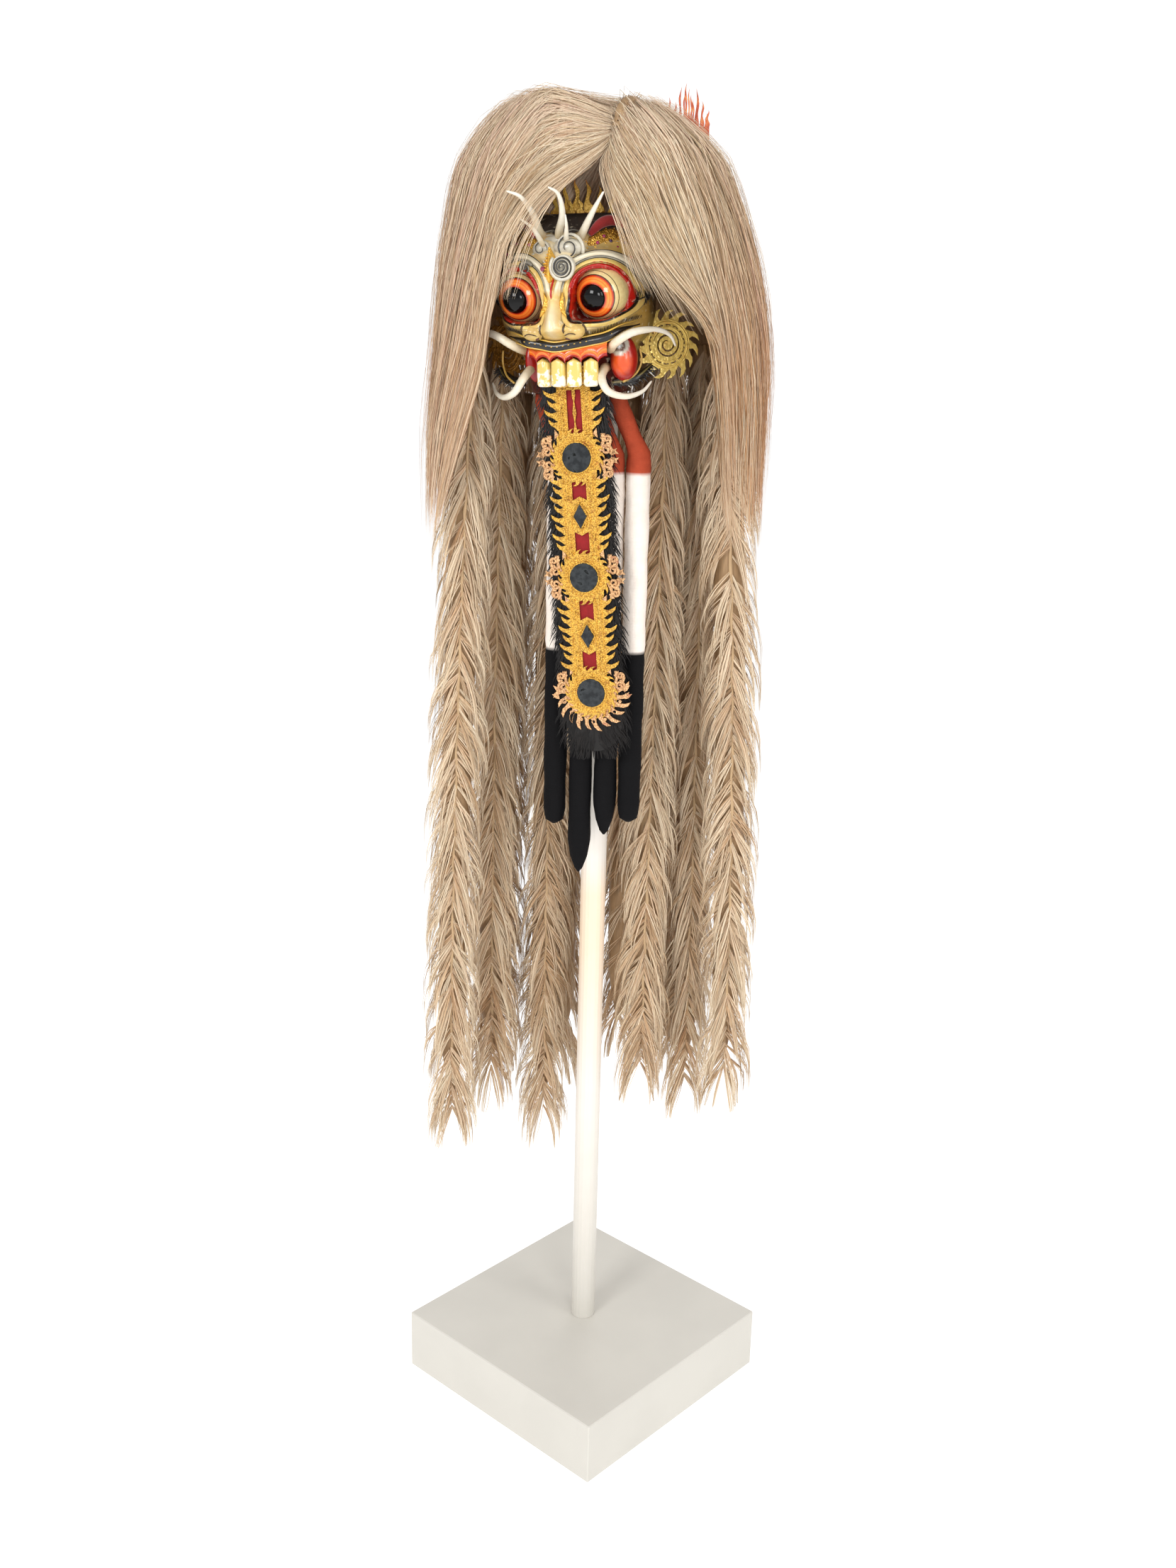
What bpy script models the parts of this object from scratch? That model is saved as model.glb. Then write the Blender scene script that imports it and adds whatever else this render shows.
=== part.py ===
"""Balinese dance mask with its hair, tongue and tusks, on a pole and square plinth.

The plinth's underside is at z = 0 and its corners point along X and Y. The
front is towards -Y. Lengths are in metres.
"""

import math

import bmesh
import bpy
from mathutils import Matrix, Vector

# Gap between two pieces that touch
CLEARANCE = 0.0003

# Display stand
PLINTH_SIDE = 0.400
PLINTH_HEIGHT = 0.100
PLINTH_EDGE = 0.0015
POLE_DIAMETER = 0.038

# Hair cap and mantle
HAIR_TOP = 1.955
CROWN_OVER_POLE = 0.180
POLE_TOP = HAIR_TOP - CROWN_OVER_POLE
MANTLE_LENGTH = 0.600
MANTLE_WIDTH = 0.480
MANTLE_DEPTH_RATIO = 0.95
MANTLE_WALL = 0.014
LOCK_COUNT = 16
LOCK_RELIEF = 0.003
LOCK_TIP = 0.014
PARTING_DEPTH = 0.014
PARTING_X = 0.036
PARTING_WIDTH = 0.038
HEM_DROP = 0.930
HEM_SLOPE = 0.030
HOLLOW_DROPS = (0.442, 0.642, 0.80, 1.10)

# Twisted hair ropes
ROPE_RADIUS = 0.037
ROPE_TUFTS = 6
ROPE_TIP_RADIUS = 0.004

# Mask: turned and tipped on the stand, as it was mounted
MASK_TURN = math.radians(-17.0)
MASK_TILT = math.radians(-2.5)
EYES_BELOW_CROWN = 0.275
MASK_EYE_HEIGHT = HAIR_TOP - EYES_BELOW_CROWN
MASK_BACK_Y = -0.060
MASK_SIDE_SHIFT = -0.021
MASK_HALF_WIDTH = 0.104
MASK_TOP = 0.125
MASK_BOTTOM = -0.100
MASK_DEPTH = 0.105
MASK_WALL = 0.016
FACE_ROWS = 26
FACE_COLUMNS = 24
MOUTH_FLOOR = 0.058
EYE_SPACING = 0.100
EYE_HEIGHT = 0.018
EYE_RADIUS = 0.029
EYE_FORWARD = 0.081
EYE_SHIFT = -0.003
TOOTH_WIDTH = 0.0195
TOOTH_HEIGHT = 0.042
TOOTH_FRONT = 0.112
TOOTH_BACK = 0.079
TEETH_SHIFT = 0.005
TOOTH_TOP = -0.050
TOOTH_COUNT = 4
TOOTH_ARCH = 6.0
GUM_TOP = -0.036
GUM_BOTTOM = -0.062
GUM_TOP_WIDTH = 0.112
GUM_BOTTOM_WIDTH = 0.088
GUM_FRONT = 0.102
GUM_BACK = 0.070

# Tusks
MOUTH_TUSK_RADIUS = 0.0062
LONG_BROW_TUSK_RADIUS = 0.0056
SHORT_BROW_TUSK_RADIUS = 0.0040

# Gilt leather ornaments
LEATHER_THICKNESS = 0.003
EAR_FLARE = math.radians(35.0)
EAR_RADIUS = 0.047
EAR_FLAMES = 14
EAR_HEIGHT = -0.040
EAR_INSET = 0.004
EAR_SETBACK = 0.001
CROWN_WIDTH = 0.104
CROWN_HEIGHT = 0.046
CROWN_BAND = 0.010
CROWN_FLAMES = 7
CREST_WIDTH = 0.070
CREST_HEIGHT = 0.092
CREST_FLAMES = 5
CREST_DROP = 0.063
CREST_BASE = HAIR_TOP - CREST_DROP
CREST_Y = 0.050
CREST_X = 0.102
LEAF_SEAT = 0.108
LEAF_HEIGHT = 0.046
LEAF_RIDGE = 0.020
LEAF_HALF_WIDTH = 0.013
LEAF_SHIFT = -0.004
LEAF_BOTTOM = 0.031

# Tongue
TONGUE_TOP = -0.065
TONGUE_LENGTH = 0.505
TONGUE_LEAN = math.radians(-2.4)
TONGUE_SHIFT = 0.0055
TONGUE_BAND = 0.028
TONGUE_HIDDEN = 0.034
TONGUE_STEP = 0.0086
TONGUE_FLAME = 0.012
HALO_FLAME = 0.020
WINDOW_WIDTH = 0.020
WINDOW_MARGIN = 0.007
FUR_WIDTH = 0.074
FUR_THICKNESS = 0.008
FUR_TAIL = 0.016
CLOTH_WIDTH = 0.046
CLOTH_THICKNESS = 0.0012
MIRROR_RADIUS = 0.0195
MIRROR_THICKNESS = 0.0025
HALO_RADIUS = 0.036
DIAMOND_WIDTH = 0.018
DIAMOND_HEIGHT = 0.032
ROUND_MIRRORS = (0.117, 0.276, 0.435)
DIAMOND_MIRRORS = (0.194, 0.356)

# Stuffed cloth tubes
TUBE_RADIUS = 0.0158
TUBE_NECK = 0.0125
TUBE_FORWARD = 0.022
# Each tube: sideways place under the jaw, lower end, and whether it is pointed
CLOTH_TUBES = (
    (-0.046, (-0.062, -0.078, 0.976), False),
    (-0.010, (-0.026, -0.088, 0.904), True),
    (0.024, (0.009, -0.094, 0.964), True),
    (0.056, (0.043, -0.100, 0.986), False),
)

# Outline of the hair, from the crown down: drop and half-width as shares of the
# mantle's length and half its width, and the sideways shift as a share of that
MANTLE_PROFILE = (
    (0.000, 0.02, -0.080),
    (0.003, 0.30, -0.080),
    (0.020, 0.45, -0.140),
    (0.075, 0.62, -0.090),
    (0.117, 0.71, -0.083),
    (0.175, 0.78, -0.079),
    (0.258, 0.84, -0.056),
    (0.342, 0.89, -0.042),
    (0.442, 0.93, -0.027),
    (0.542, 0.955, -0.024),
    (0.642, 0.972, -0.033),
    (0.758, 0.982, -0.045),
)

# Each rope: place of its top and of its tip, and the tip's height
ROPES = {
    "hair_rope_left_front": ((-0.172, 0.002), (-0.213, -0.032), 0.440),
    "hair_rope_left_middle": ((-0.138, 0.058), (-0.154, 0.062), 0.458),
    "hair_rope_left_inner": ((-0.066, 0.072), (-0.070, 0.092), 0.370),
    "hair_rope_right_inner": ((0.088, 0.022), (0.081, 0.018), 0.493),
    "hair_rope_right_middle": ((0.136, 0.058), (0.156, 0.066), 0.441),
    "hair_rope_right_front": ((0.148, -0.012), (0.208, -0.016), 0.504),
    "hair_rope_back_1": ((-0.102, 0.114), (-0.146, 0.156), 0.470),
    "hair_rope_back_2": ((-0.030, 0.134), (-0.040, 0.180), 0.420),
    "hair_rope_back_3": ((0.040, 0.132), (0.056, 0.174), 0.480),
    "hair_rope_back_4": ((0.100, 0.112), (0.136, 0.154), 0.450),
}

# Mask frame points are (sideways, up, forward) from the middle of the rim's plane
UPPER_TUSK = (
    (0.056, -0.045, 0.050),
    (0.060, -0.043, 0.073),
    (0.070, -0.036, 0.090),
    (0.092, -0.024, 0.088),
    (0.116, -0.021, 0.064),
    (0.131, -0.028, 0.046),
    (0.136, -0.043, 0.030),
)
LOWER_TUSK = (
    (0.049, -0.067, 0.047),
    (0.050, -0.069, 0.073),
    (0.053, -0.080, 0.097),
    (0.063, -0.096, 0.103),
    (0.082, -0.103, 0.088),
    (0.099, -0.098, 0.068),
    (0.109, -0.085, 0.053),
)
BROW_TUSKS = (
    (
        LONG_BROW_TUSK_RADIUS,
        (
            (-0.026, 0.094, 0.058),
            (-0.028, 0.101, 0.085),
            (-0.030, 0.123, 0.109),
            (-0.040, 0.141, 0.125),
            (-0.056, 0.148, 0.132),
        ),
    ),
    (
        SHORT_BROW_TUSK_RADIUS,
        (
            (-0.021, 0.080, 0.078),
            (-0.022, 0.090, 0.104),
            (-0.027, 0.104, 0.120),
            (-0.039, 0.115, 0.134),
        ),
    ),
    (
        LONG_BROW_TUSK_RADIUS,
        (
            (-0.004, 0.090, 0.060),
            (-0.002, 0.098, 0.088),
            (0.009, 0.120, 0.109),
            (0.009, 0.142, 0.125),
            (0.000, 0.150, 0.139),
        ),
    ),
    (
        SHORT_BROW_TUSK_RADIUS,
        (
            (0.010, 0.080, 0.078),
            (0.012, 0.090, 0.104),
            (0.017, 0.105, 0.120),
            (0.019, 0.118, 0.131),
        ),
    ),
    (
        LONG_BROW_TUSK_RADIUS,
        (
            (0.021, 0.089, 0.060),
            (0.027, 0.095, 0.086),
            (0.047, 0.119, 0.109),
            (0.067, 0.143, 0.126),
        ),
    ),
)

# Opening of the hair round the face, in the mask's frame, clockwise from the parting
HAIR_OPENING = (
    (0.012, 0.178),
    (0.045, 0.172),
    (0.070, 0.150),
    (0.086, 0.115),
    (0.101, 0.070),
    (0.122, 0.030),
    (0.152, 0.002),
    (0.174, -0.030),
    (0.190, -0.110),
    (0.203, -0.200),
    (0.207, -0.420),
    (-0.207, -0.420),
    (-0.190, -0.235),
    (-0.165, -0.170),
    (-0.147, -0.112),
    (-0.160, -0.080),
    (-0.170, -0.035),
    (-0.152, -0.004),
    (-0.092, 0.012),
    (-0.085, 0.065),
    (-0.070, 0.110),
    (-0.058, 0.142),
    (-0.030, 0.168),
)
OPENING_REACH = 0.300
POCKET_HALF_WIDTH = 0.100
POCKET_TOP = 0.135
POCKET_REACH = 0.078

# Half-width and depth of the mask at each height, as shares
FACE_OUTLINE = (
    (-0.100, 0.64, 0.62),
    (-0.060, 0.70, 0.74),
    (-0.038, 0.80, 0.94),
    (-0.024, 0.93, 0.98),
    (0.000, 0.99, 1.00),
    (0.045, 1.00, 0.99),
    (0.075, 0.95, 0.88),
    (0.100, 0.82, 0.68),
    (0.125, 0.54, 0.32),
)

# Carved forms: centre, spread sideways and upwards, and height
NOSE_AND_CHEEKS = (
    (0.000, -0.022, 0.013, 0.014, 0.036),
    (0.000, -0.002, 0.010, 0.018, 0.024),
    (0.024, -0.024, 0.010, 0.010, 0.020),
    (-0.024, -0.024, 0.010, 0.010, 0.020),
    (0.052, -0.018, 0.016, 0.010, 0.014),
    (-0.052, -0.018, 0.016, 0.010, 0.014),
    (0.000, -0.041, 0.050, 0.005, 0.012),
    (0.012, 0.060, 0.012, 0.012, 0.016),
    (-0.016, 0.088, 0.010, 0.008, 0.008),
    (0.016, 0.088, 0.012, 0.008, 0.010),
)
BROW_RELIEF = 0.012
BROW_SPREAD = 0.007

# Plane that each gilt brow plate lies on: forward at its inner corner, and slopes
TEMPLE_FORWARD = 0.090
TEMPLE_CORNER = (0.035, 0.070)
TEMPLE_SLOPE_OUT = 0.80
TEMPLE_SLOPE_UP = 0.62
BROW_PLATE = (
    (0.030, 0.072),
    (0.044, 0.081),
    (0.060, 0.083),
    (0.076, 0.075),
    (0.086, 0.060),
    (0.084, 0.080),
    (0.074, 0.096),
    (0.060, 0.104),
    (0.045, 0.101),
    (0.033, 0.090),
)


def clear_scene():
    for old in list(bpy.data.objects):
        bpy.data.objects.remove(old, do_unlink=True)


def collection(name, is_helper=False):
    made = bpy.data.collections.new(name)
    bpy.context.scene.collection.children.link(made)
    made.hide_render = is_helper
    return made


def material(name, colour, roughness, metallic=0.0):
    made = bpy.data.materials.new(name)
    made.use_nodes = True
    shader = made.node_tree.nodes["Principled BSDF"]
    shader.inputs["Base Color"].default_value = (*colour, 1.0)
    shader.inputs["Roughness"].default_value = roughness
    shader.inputs["Metallic"].default_value = metallic
    return made


def put(obj, group, parent=None, finish=None):
    """Links an object, parents it, and marks it as a helper if its group is one."""
    group.objects.link(obj)
    obj.parent = parent
    if group.hide_render:
        obj.hide_render = True
        obj.display_type = "WIRE"
    if finish:
        obj.data.materials.append(finish)
    return obj


def mesh_object(name, shape):
    """An object from a bmesh, with its faces turned outwards."""
    bmesh.ops.recalc_face_normals(shape, faces=shape.faces)
    mesh = bpy.data.meshes.new(name)
    shape.to_mesh(mesh)
    shape.free()
    return bpy.data.objects.new(name, mesh)


def loft(name, rings):
    """A closed solid through rings of equal length, capped flat at both ends."""
    shape = bmesh.new()
    rows = [[shape.verts.new(point) for point in ring] for ring in rings]
    for upper, lower in zip(rows, rows[1:]):
        for index in range(len(upper)):
            after = (index + 1) % len(upper)
            shape.faces.new((upper[index], upper[after], lower[after], lower[index]))
    shape.faces.new(rows[0])
    shape.faces.new(rows[-1])
    return mesh_object(name, shape)


def slab(name, outline, thickness, holes=()):
    """A flat plate in its own XY plane, thickness upwards, with its holes cut through."""
    curve = bpy.data.curves.new(name, "CURVE")
    curve.dimensions = "2D"
    curve.fill_mode = "BOTH"
    curve.extrude = thickness / 2
    for points in (outline, *holes):
        spline = curve.splines.new("POLY")
        spline.points.add(len(points) - 1)
        for spot, (x, y) in zip(spline.points, points):
            spot.co = (x, y, 0.0, 1.0)
        spline.use_cyclic_u = True
    return bpy.data.objects.new(name, curve)


def smooth_path(points, steps):
    """Points on a smooth curve through the given ones."""
    ends = [points[0], *points, points[-1]]
    path = []
    for first, a, b, last in zip(ends, ends[1:], ends[2:], ends[3:]):
        for step in range(steps):
            t = step / steps
            path.append(
                0.5
                * (
                    2 * a
                    + (b - first) * t
                    + (2 * first - 5 * a + 4 * b - last) * t**2
                    + (3 * a - first - 3 * b + last) * t**3
                )
            )
    path.append(points[-1])
    return path


def tube(name, path, radii, sides_setting=2):
    """A closed tube along a path, with a radius at each point."""
    curve = bpy.data.curves.new(name, "CURVE")
    curve.dimensions = "3D"
    curve.bevel_depth = 1.0
    curve.bevel_resolution = sides_setting
    curve.use_fill_caps = True
    spline = curve.splines.new("POLY")
    spline.points.add(len(path) - 1)
    for spot, place, radius in zip(spline.points, path, radii):
        spot.co = (*place, 1.0)
        spot.radius = radius
    return bpy.data.objects.new(name, curve)


def cut(target, cutter, operation="DIFFERENCE"):
    modifier = target.modifiers.new(cutter.name, "BOOLEAN")
    modifier.operation = operation
    modifier.object = cutter


def between(table, value, column):
    """A value read from a table of rows by its first column, straight between rows."""
    for row, after in zip(table, table[1:]):
        if value <= after[0]:
            share = (value - row[0]) / (after[0] - row[0])
            return row[column] + (after[column] - row[column]) * max(0.0, share)
    return table[-1][column]


def make_plinth(group):
    shape = bmesh.new()
    bmesh.ops.create_cube(shape, size=1.0)
    bmesh.ops.scale(shape, verts=shape.verts, vec=(PLINTH_SIDE, PLINTH_SIDE, PLINTH_HEIGHT))
    plinth = put(mesh_object("plinth", shape), group, finish=WHITE_PAINT)
    plinth.location.z = PLINTH_HEIGHT / 2
    plinth.rotation_euler.z = math.radians(45)
    edge = plinth.modifiers.new("worn edge", "BEVEL")
    edge.width = PLINTH_EDGE
    edge.segments = 1


def make_pole(group):
    length = POLE_TOP - PLINTH_HEIGHT - 2 * CLEARANCE
    shape = bmesh.new()
    bmesh.ops.create_cone(
        shape,
        cap_ends=True,
        segments=20,
        radius1=POLE_DIAMETER / 2,
        radius2=POLE_DIAMETER / 2,
        depth=length,
    )
    pole = put(mesh_object("pole", shape), group, finish=WHITE_PAINT)
    pole.location.z = PLINTH_HEIGHT + CLEARANCE + length / 2


def mantle_ring(drop, half_width, shift, inset=0.0, edge=None):
    """One level of the hair's outline, with a ridge for each lock."""
    steps = 2 * LOCK_COUNT
    ring = []
    for step in range(steps):
        angle = 2 * math.pi * step / steps
        ridge = LOCK_RELIEF * math.cos(LOCK_COUNT * angle)
        radius = half_width * MANTLE_WIDTH / 2 - inset + (0.0 if inset else ridge)
        x = shift * MANTLE_WIDTH / 2 + radius * math.cos(angle)
        y = MANTLE_DEPTH_RATIO * radius * math.sin(angle)
        z = HAIR_TOP - drop * MANTLE_LENGTH
        if edge is not None:
            z = edge(angle) - LOCK_TIP * math.cos(LOCK_COUNT * angle)
        ring.append((x, y, z))
    return ring


def mantle_edge(angle):
    """Height of the mantle's lower edge: lowest on the left, higher on the right."""
    middle = HAIR_TOP - HEM_DROP * MANTLE_LENGTH
    return middle + HEM_SLOPE * MANTLE_LENGTH * math.cos(angle)


def make_hair_cap(group, cutters, seat):
    rings = [mantle_ring(*level) for level in MANTLE_PROFILE]
    rings = [parted(ring) for ring in rings[:4]] + rings[4:]
    rings.append(mantle_ring(*MANTLE_PROFILE[-1], edge=mantle_edge))
    ceiling = HAIR_TOP - POLE_TOP
    inside = []
    for drop in (ceiling / MANTLE_LENGTH, *HOLLOW_DROPS):
        width = between(MANTLE_PROFILE, drop, 1)
        shift = between(MANTLE_PROFILE, drop, 2)
        inside.append(mantle_ring(drop, width, shift, inset=MANTLE_WALL))
    hollow = put(loft("cutter_hair_inside", inside), cutters)
    opening = solid_prism(HAIR_OPENING, -CLEARANCE, OPENING_REACH, "cutter_hair_opening")
    put(opening, cutters, seat)
    pocket_outline = (
        (-POCKET_HALF_WIDTH, 0.0),
        (POCKET_HALF_WIDTH, 0.0),
        (POCKET_HALF_WIDTH, 0.8 * POCKET_TOP),
        (0.7 * POCKET_HALF_WIDTH, POCKET_TOP),
        (-0.7 * POCKET_HALF_WIDTH, POCKET_TOP),
        (-POCKET_HALF_WIDTH, 0.8 * POCKET_TOP),
    )
    pocket = solid_prism(pocket_outline, -CLEARANCE, POCKET_REACH, "cutter_mask_pocket")
    put(pocket, cutters, seat)

    slot = bmesh.new()
    bmesh.ops.create_cube(slot, size=1.0)
    size = (
        CREST_WIDTH + 2 * CLEARANCE,
        LEATHER_THICKNESS + 2 * CLEARANCE,
        CREST_HEIGHT + CLEARANCE,
    )
    bmesh.ops.scale(slot, verts=slot.verts, vec=size)
    slot_cutter = put(mesh_object("cutter_crest_slot", slot), cutters)
    slot_cutter.location = (CREST_X, CREST_Y, CREST_BASE - CLEARANCE + size[2] / 2)

    for side, name in ((-1, "hair_left"), (1, "hair_right")):
        half = put(loft(name, rings), group, finish=HAIR)
        for cutter in (parting_block(side, cutters), hollow, opening, pocket, slot_cutter):
            cut(half, cutter)


def parting_block(side, cutters):
    """A block over the other side of the parting, which leaves one side of the hair."""
    shape = bmesh.new()
    bmesh.ops.create_cube(shape, size=1.0)
    size = (MANTLE_WIDTH, 2 * MANTLE_WIDTH, 2 * MANTLE_LENGTH)
    bmesh.ops.scale(shape, verts=shape.verts, vec=size)
    block = put(mesh_object("cutter_parting_" + str(side), shape), cutters)
    aside = side * (MANTLE_WIDTH - CLEARANCE) / 2
    block.location = (PARTING_X - aside, 0.0, HAIR_TOP - MANTLE_LENGTH / 2)
    return block


def parted(ring):
    """The crown of the hair sinks along the parting, between its two lobes."""
    return [
        (x, y, z - PARTING_DEPTH * math.exp(-(((x - PARTING_X) / PARTING_WIDTH) ** 2)))
        for x, y, z in ring
    ]


def solid_prism(outline, back, front, name):
    """A block in the mask's frame: an outline facing forwards, between two depths."""
    rings = [[(u, -w, v) for u, v in outline] for w in (back, front)]
    return loft(name, rings)


def make_hair_ropes(group):
    for name, (top, tip, tip_height) in ROPES.items():
        highest = POLE_TOP - CLEARANCE
        path = []
        radii = []
        for ring in range(2 * ROPE_TUFTS + 2):
            share = ring / (2 * ROPE_TUFTS + 1)
            hung = max(0, ring - 1) / (2 * ROPE_TUFTS)
            spread = 1 - (1 - hung) ** 2
            path.append(
                Vector(
                    (
                        top[0] + (tip[0] - top[0]) * spread,
                        top[1] + (tip[1] - top[1]) * spread,
                        highest + (tip_height - highest) * share,
                    )
                )
            )
            fullness = min(1.0, 0.64 + 1.1 * share)
            if share > 0.86:
                fullness = 1.0 - (share - 0.86) / 0.14 * 0.65
            tuft = 0.80 if ring % 2 == 0 else 1.0
            radii.append(ROPE_RADIUS * fullness * tuft)
        radii[0] = ROPE_RADIUS * 0.6
        radii[-1] = ROPE_TIP_RADIUS
        put(tube(name, path, radii), group, finish=HAIR)


def brow_distance(u, v):
    """How far a point lies from the arch of the brow over its eye."""
    across = (abs(u) - 0.054) / 0.040
    arch = 0.078 - 0.030 * across**2
    return v - arch


def temple_plane(u, v):
    out = abs(u) - TEMPLE_CORNER[0]
    up = v - TEMPLE_CORNER[1]
    return TEMPLE_FORWARD - TEMPLE_SLOPE_OUT * out - TEMPLE_SLOPE_UP * up


def relief(u, v):
    """How far forward of the rim's plane the carved face stands at a point."""
    edge = MASK_HALF_WIDTH * between(FACE_OUTLINE, v, 1)
    share = min(1.0, abs(u) / edge)
    fade = 1 - share**4
    forward = MASK_DEPTH * between(FACE_OUTLINE, v, 2) * math.sqrt(1 - share**2.4)
    for centre_u, centre_v, spread_u, spread_v, height in NOSE_AND_CHEEKS:
        away = ((u - centre_u) / spread_u) ** 2 + ((v - centre_v) / spread_v) ** 2
        forward += height * math.exp(-away) * fade
    if 0.014 < abs(u) < 0.094:
        forward += BROW_RELIEF * math.exp(-((brow_distance(u, v) / BROW_SPREAD) ** 2)) * fade
    if abs(u) > 0.018 and v > 0.050:
        forward = min(forward, temple_plane(u, v))
    in_mouth = v < -0.046 and abs(u) < 0.070
    at_corner = v < -0.030 and 0.049 < abs(u) < 0.078
    if in_mouth or at_corner:
        forward = min(forward, MOUTH_FLOOR)
    if 0.024 < v < 0.084 and abs(u - LEAF_SHIFT) < 0.021:
        forward = min(forward, LEAF_SEAT)
        if abs(u - LEAF_SHIFT) < LEAF_HALF_WIDTH:
            forward = LEAF_SEAT
    return max(forward, 0.0)


def face_solid():
    """The carved block of the mask, its back flat on the rim's plane."""
    shape = bmesh.new()
    rows = []
    for row in range(FACE_ROWS + 1):
        v = MASK_BOTTOM + (MASK_TOP - MASK_BOTTOM) * row / FACE_ROWS
        edge = MASK_HALF_WIDTH * between(FACE_OUTLINE, v, 1)
        line = []
        for column in range(FACE_COLUMNS + 1):
            u = edge * (2 * column / FACE_COLUMNS - 1)
            w = 0.0 if column in (0, FACE_COLUMNS) else max(relief(u, v), 0.002)
            line.append(shape.verts.new((u, -w, v)))
        rows.append(line)
    for below, above in zip(rows, rows[1:]):
        for left in range(FACE_COLUMNS):
            corners = (below[left], below[left + 1], above[left + 1], above[left])
            shape.faces.new(corners)
        shape.faces.new((below[0], above[0], above[-1], below[-1]))
    shape.faces.new(rows[0])
    shape.faces.new(rows[-1])
    bmesh.ops.triangulate(shape, faces=shape.faces)
    return mesh_object("mask_face", shape)


def ball(name, place, radii, columns=12, rows=8):
    shape = bmesh.new()
    bmesh.ops.create_uvsphere(shape, u_segments=columns, v_segments=rows, radius=1.0)
    bmesh.ops.scale(shape, verts=shape.verts, vec=radii)
    made = mesh_object(name, shape)
    made.location = place
    return made


def tooth(name, u, setback):
    """One incisor: square below and arched at the gum."""
    half = TOOTH_WIDTH / 2
    outline = [(u - half, TOOTH_TOP - TOOTH_HEIGHT), (u + half, TOOTH_TOP - TOOTH_HEIGHT)]
    for step in range(5):
        angle = math.pi * step / 4
        outline.append((u + half * math.cos(angle), TOOTH_TOP - half + half * math.sin(angle)))
    return solid_prism(outline, TOOTH_BACK - setback, TOOTH_FRONT - setback, name)


def make_mask_face(group, cutters, seat):
    face = put(face_solid(), group, seat, PAINTED_WOOD)
    hollow_width = MASK_HALF_WIDTH - MASK_WALL
    hollow_height = (MASK_TOP - MASK_BOTTOM) / 2 - MASK_WALL
    hollow_depth = MOUTH_FLOOR - MASK_WALL
    middle = (MASK_TOP + MASK_BOTTOM) / 2
    hollow = ball(
        "cutter_mask_inside",
        (0.0, 0.0, middle),
        (hollow_width * 0.80, hollow_depth, hollow_height),
        14,
        10,
    )
    for side, name in ((-1, "left"), (1, "right")):
        place = (EYE_SHIFT + side * EYE_SPACING / 2, -EYE_FORWARD, EYE_HEIGHT)
        eye = ball("solid_eye_" + name, place, (EYE_RADIUS, EYE_RADIUS, EYE_RADIUS))
        cut(face, put(eye, cutters, seat), "UNION")
    gum_outline = (
        (-GUM_BOTTOM_WIDTH / 2, GUM_BOTTOM),
        (GUM_BOTTOM_WIDTH / 2, GUM_BOTTOM),
        (GUM_TOP_WIDTH / 2, GUM_TOP),
        (-GUM_TOP_WIDTH / 2, GUM_TOP),
    )
    gum = solid_prism(gum_outline, GUM_BACK, GUM_FRONT, "solid_gum")
    cut(face, put(gum, cutters, seat), "UNION")
    for index in range(TOOTH_COUNT):
        aside = (index - (TOOTH_COUNT - 1) / 2) * TOOTH_WIDTH
        name = "solid_tooth_" + str(index + 1)
        block = tooth(name, TEETH_SHIFT + aside, TOOTH_ARCH * aside**2)
        cut(face, put(block, cutters, seat), "UNION")
    cut(face, put(hollow, cutters, seat))
    for socket in tusk_sockets():
        cut(face, put(socket, cutters, seat))


def mirrored(points):
    return tuple((-u, v, w) for u, v, w in points)


def all_tusks():
    """Every tusk: its name, root radius and points in the mask's frame."""
    yield "upper_tusk_right", MOUTH_TUSK_RADIUS, UPPER_TUSK
    yield "upper_tusk_left", MOUTH_TUSK_RADIUS, mirrored(UPPER_TUSK)
    yield "lower_tusk_right", MOUTH_TUSK_RADIUS, LOWER_TUSK
    yield "lower_tusk_left", MOUTH_TUSK_RADIUS, mirrored(LOWER_TUSK)
    for index, (radius, points) in enumerate(BROW_TUSKS):
        yield "brow_tusk_" + str(index + 1), radius, points


def mask_vector(point):
    u, v, w = point
    return Vector((u, -w, v))


def tusk_sockets():
    """A bore in the mask for each tusk's root, with room round its facets."""
    for name, radius, points in all_tusks():
        root = mask_vector(points[0])
        along = mask_vector(points[1]) - root
        start = root - along.normalized() * CLEARANCE
        length = along.length + CLEARANCE
        bore = (radius + CLEARANCE) / math.cos(math.pi / 8) + CLEARANCE
        shape = bmesh.new()
        bmesh.ops.create_cone(
            shape, cap_ends=True, segments=8, radius1=bore, radius2=bore, depth=length
        )
        socket = mesh_object("cutter_socket_" + name, shape)
        turn = along.to_track_quat("Z", "Y").to_matrix().to_4x4()
        middle = start + along.normalized() * length / 2
        socket.matrix_local = Matrix.Translation(middle) @ turn
        yield socket


def make_tusks(group, seat):
    for name, radius, points in all_tusks():
        path = smooth_path([mask_vector(point) for point in points], 2)
        path = [path[0], *path[2:]]
        last = len(path) - 1
        radii = [radius * (1 - 0.72 * (index / last) ** 1.6) for index in range(len(path))]
        put(tube(name, path, radii), group, seat, IVORY)


def flame_ring(centre, inner, outer, count, start=0.0, sweep=2 * math.pi):
    """Points of a flame-edged arc: each flame leans round the way the arc runs."""
    points = []
    for flame in range(count):
        for lean, radius in ((0.0, inner), (0.62, outer)):
            angle = start + sweep * (flame + lean) / count
            points.append(
                (centre[0] + radius * math.cos(angle), centre[1] + radius * math.sin(angle))
            )
    return points


def circle(centre, radius, count):
    return [
        (
            centre[0] + radius * math.cos(2 * math.pi * step / count),
            centre[1] + radius * math.sin(2 * math.pi * step / count),
        )
        for step in range(count)
    ]


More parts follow.
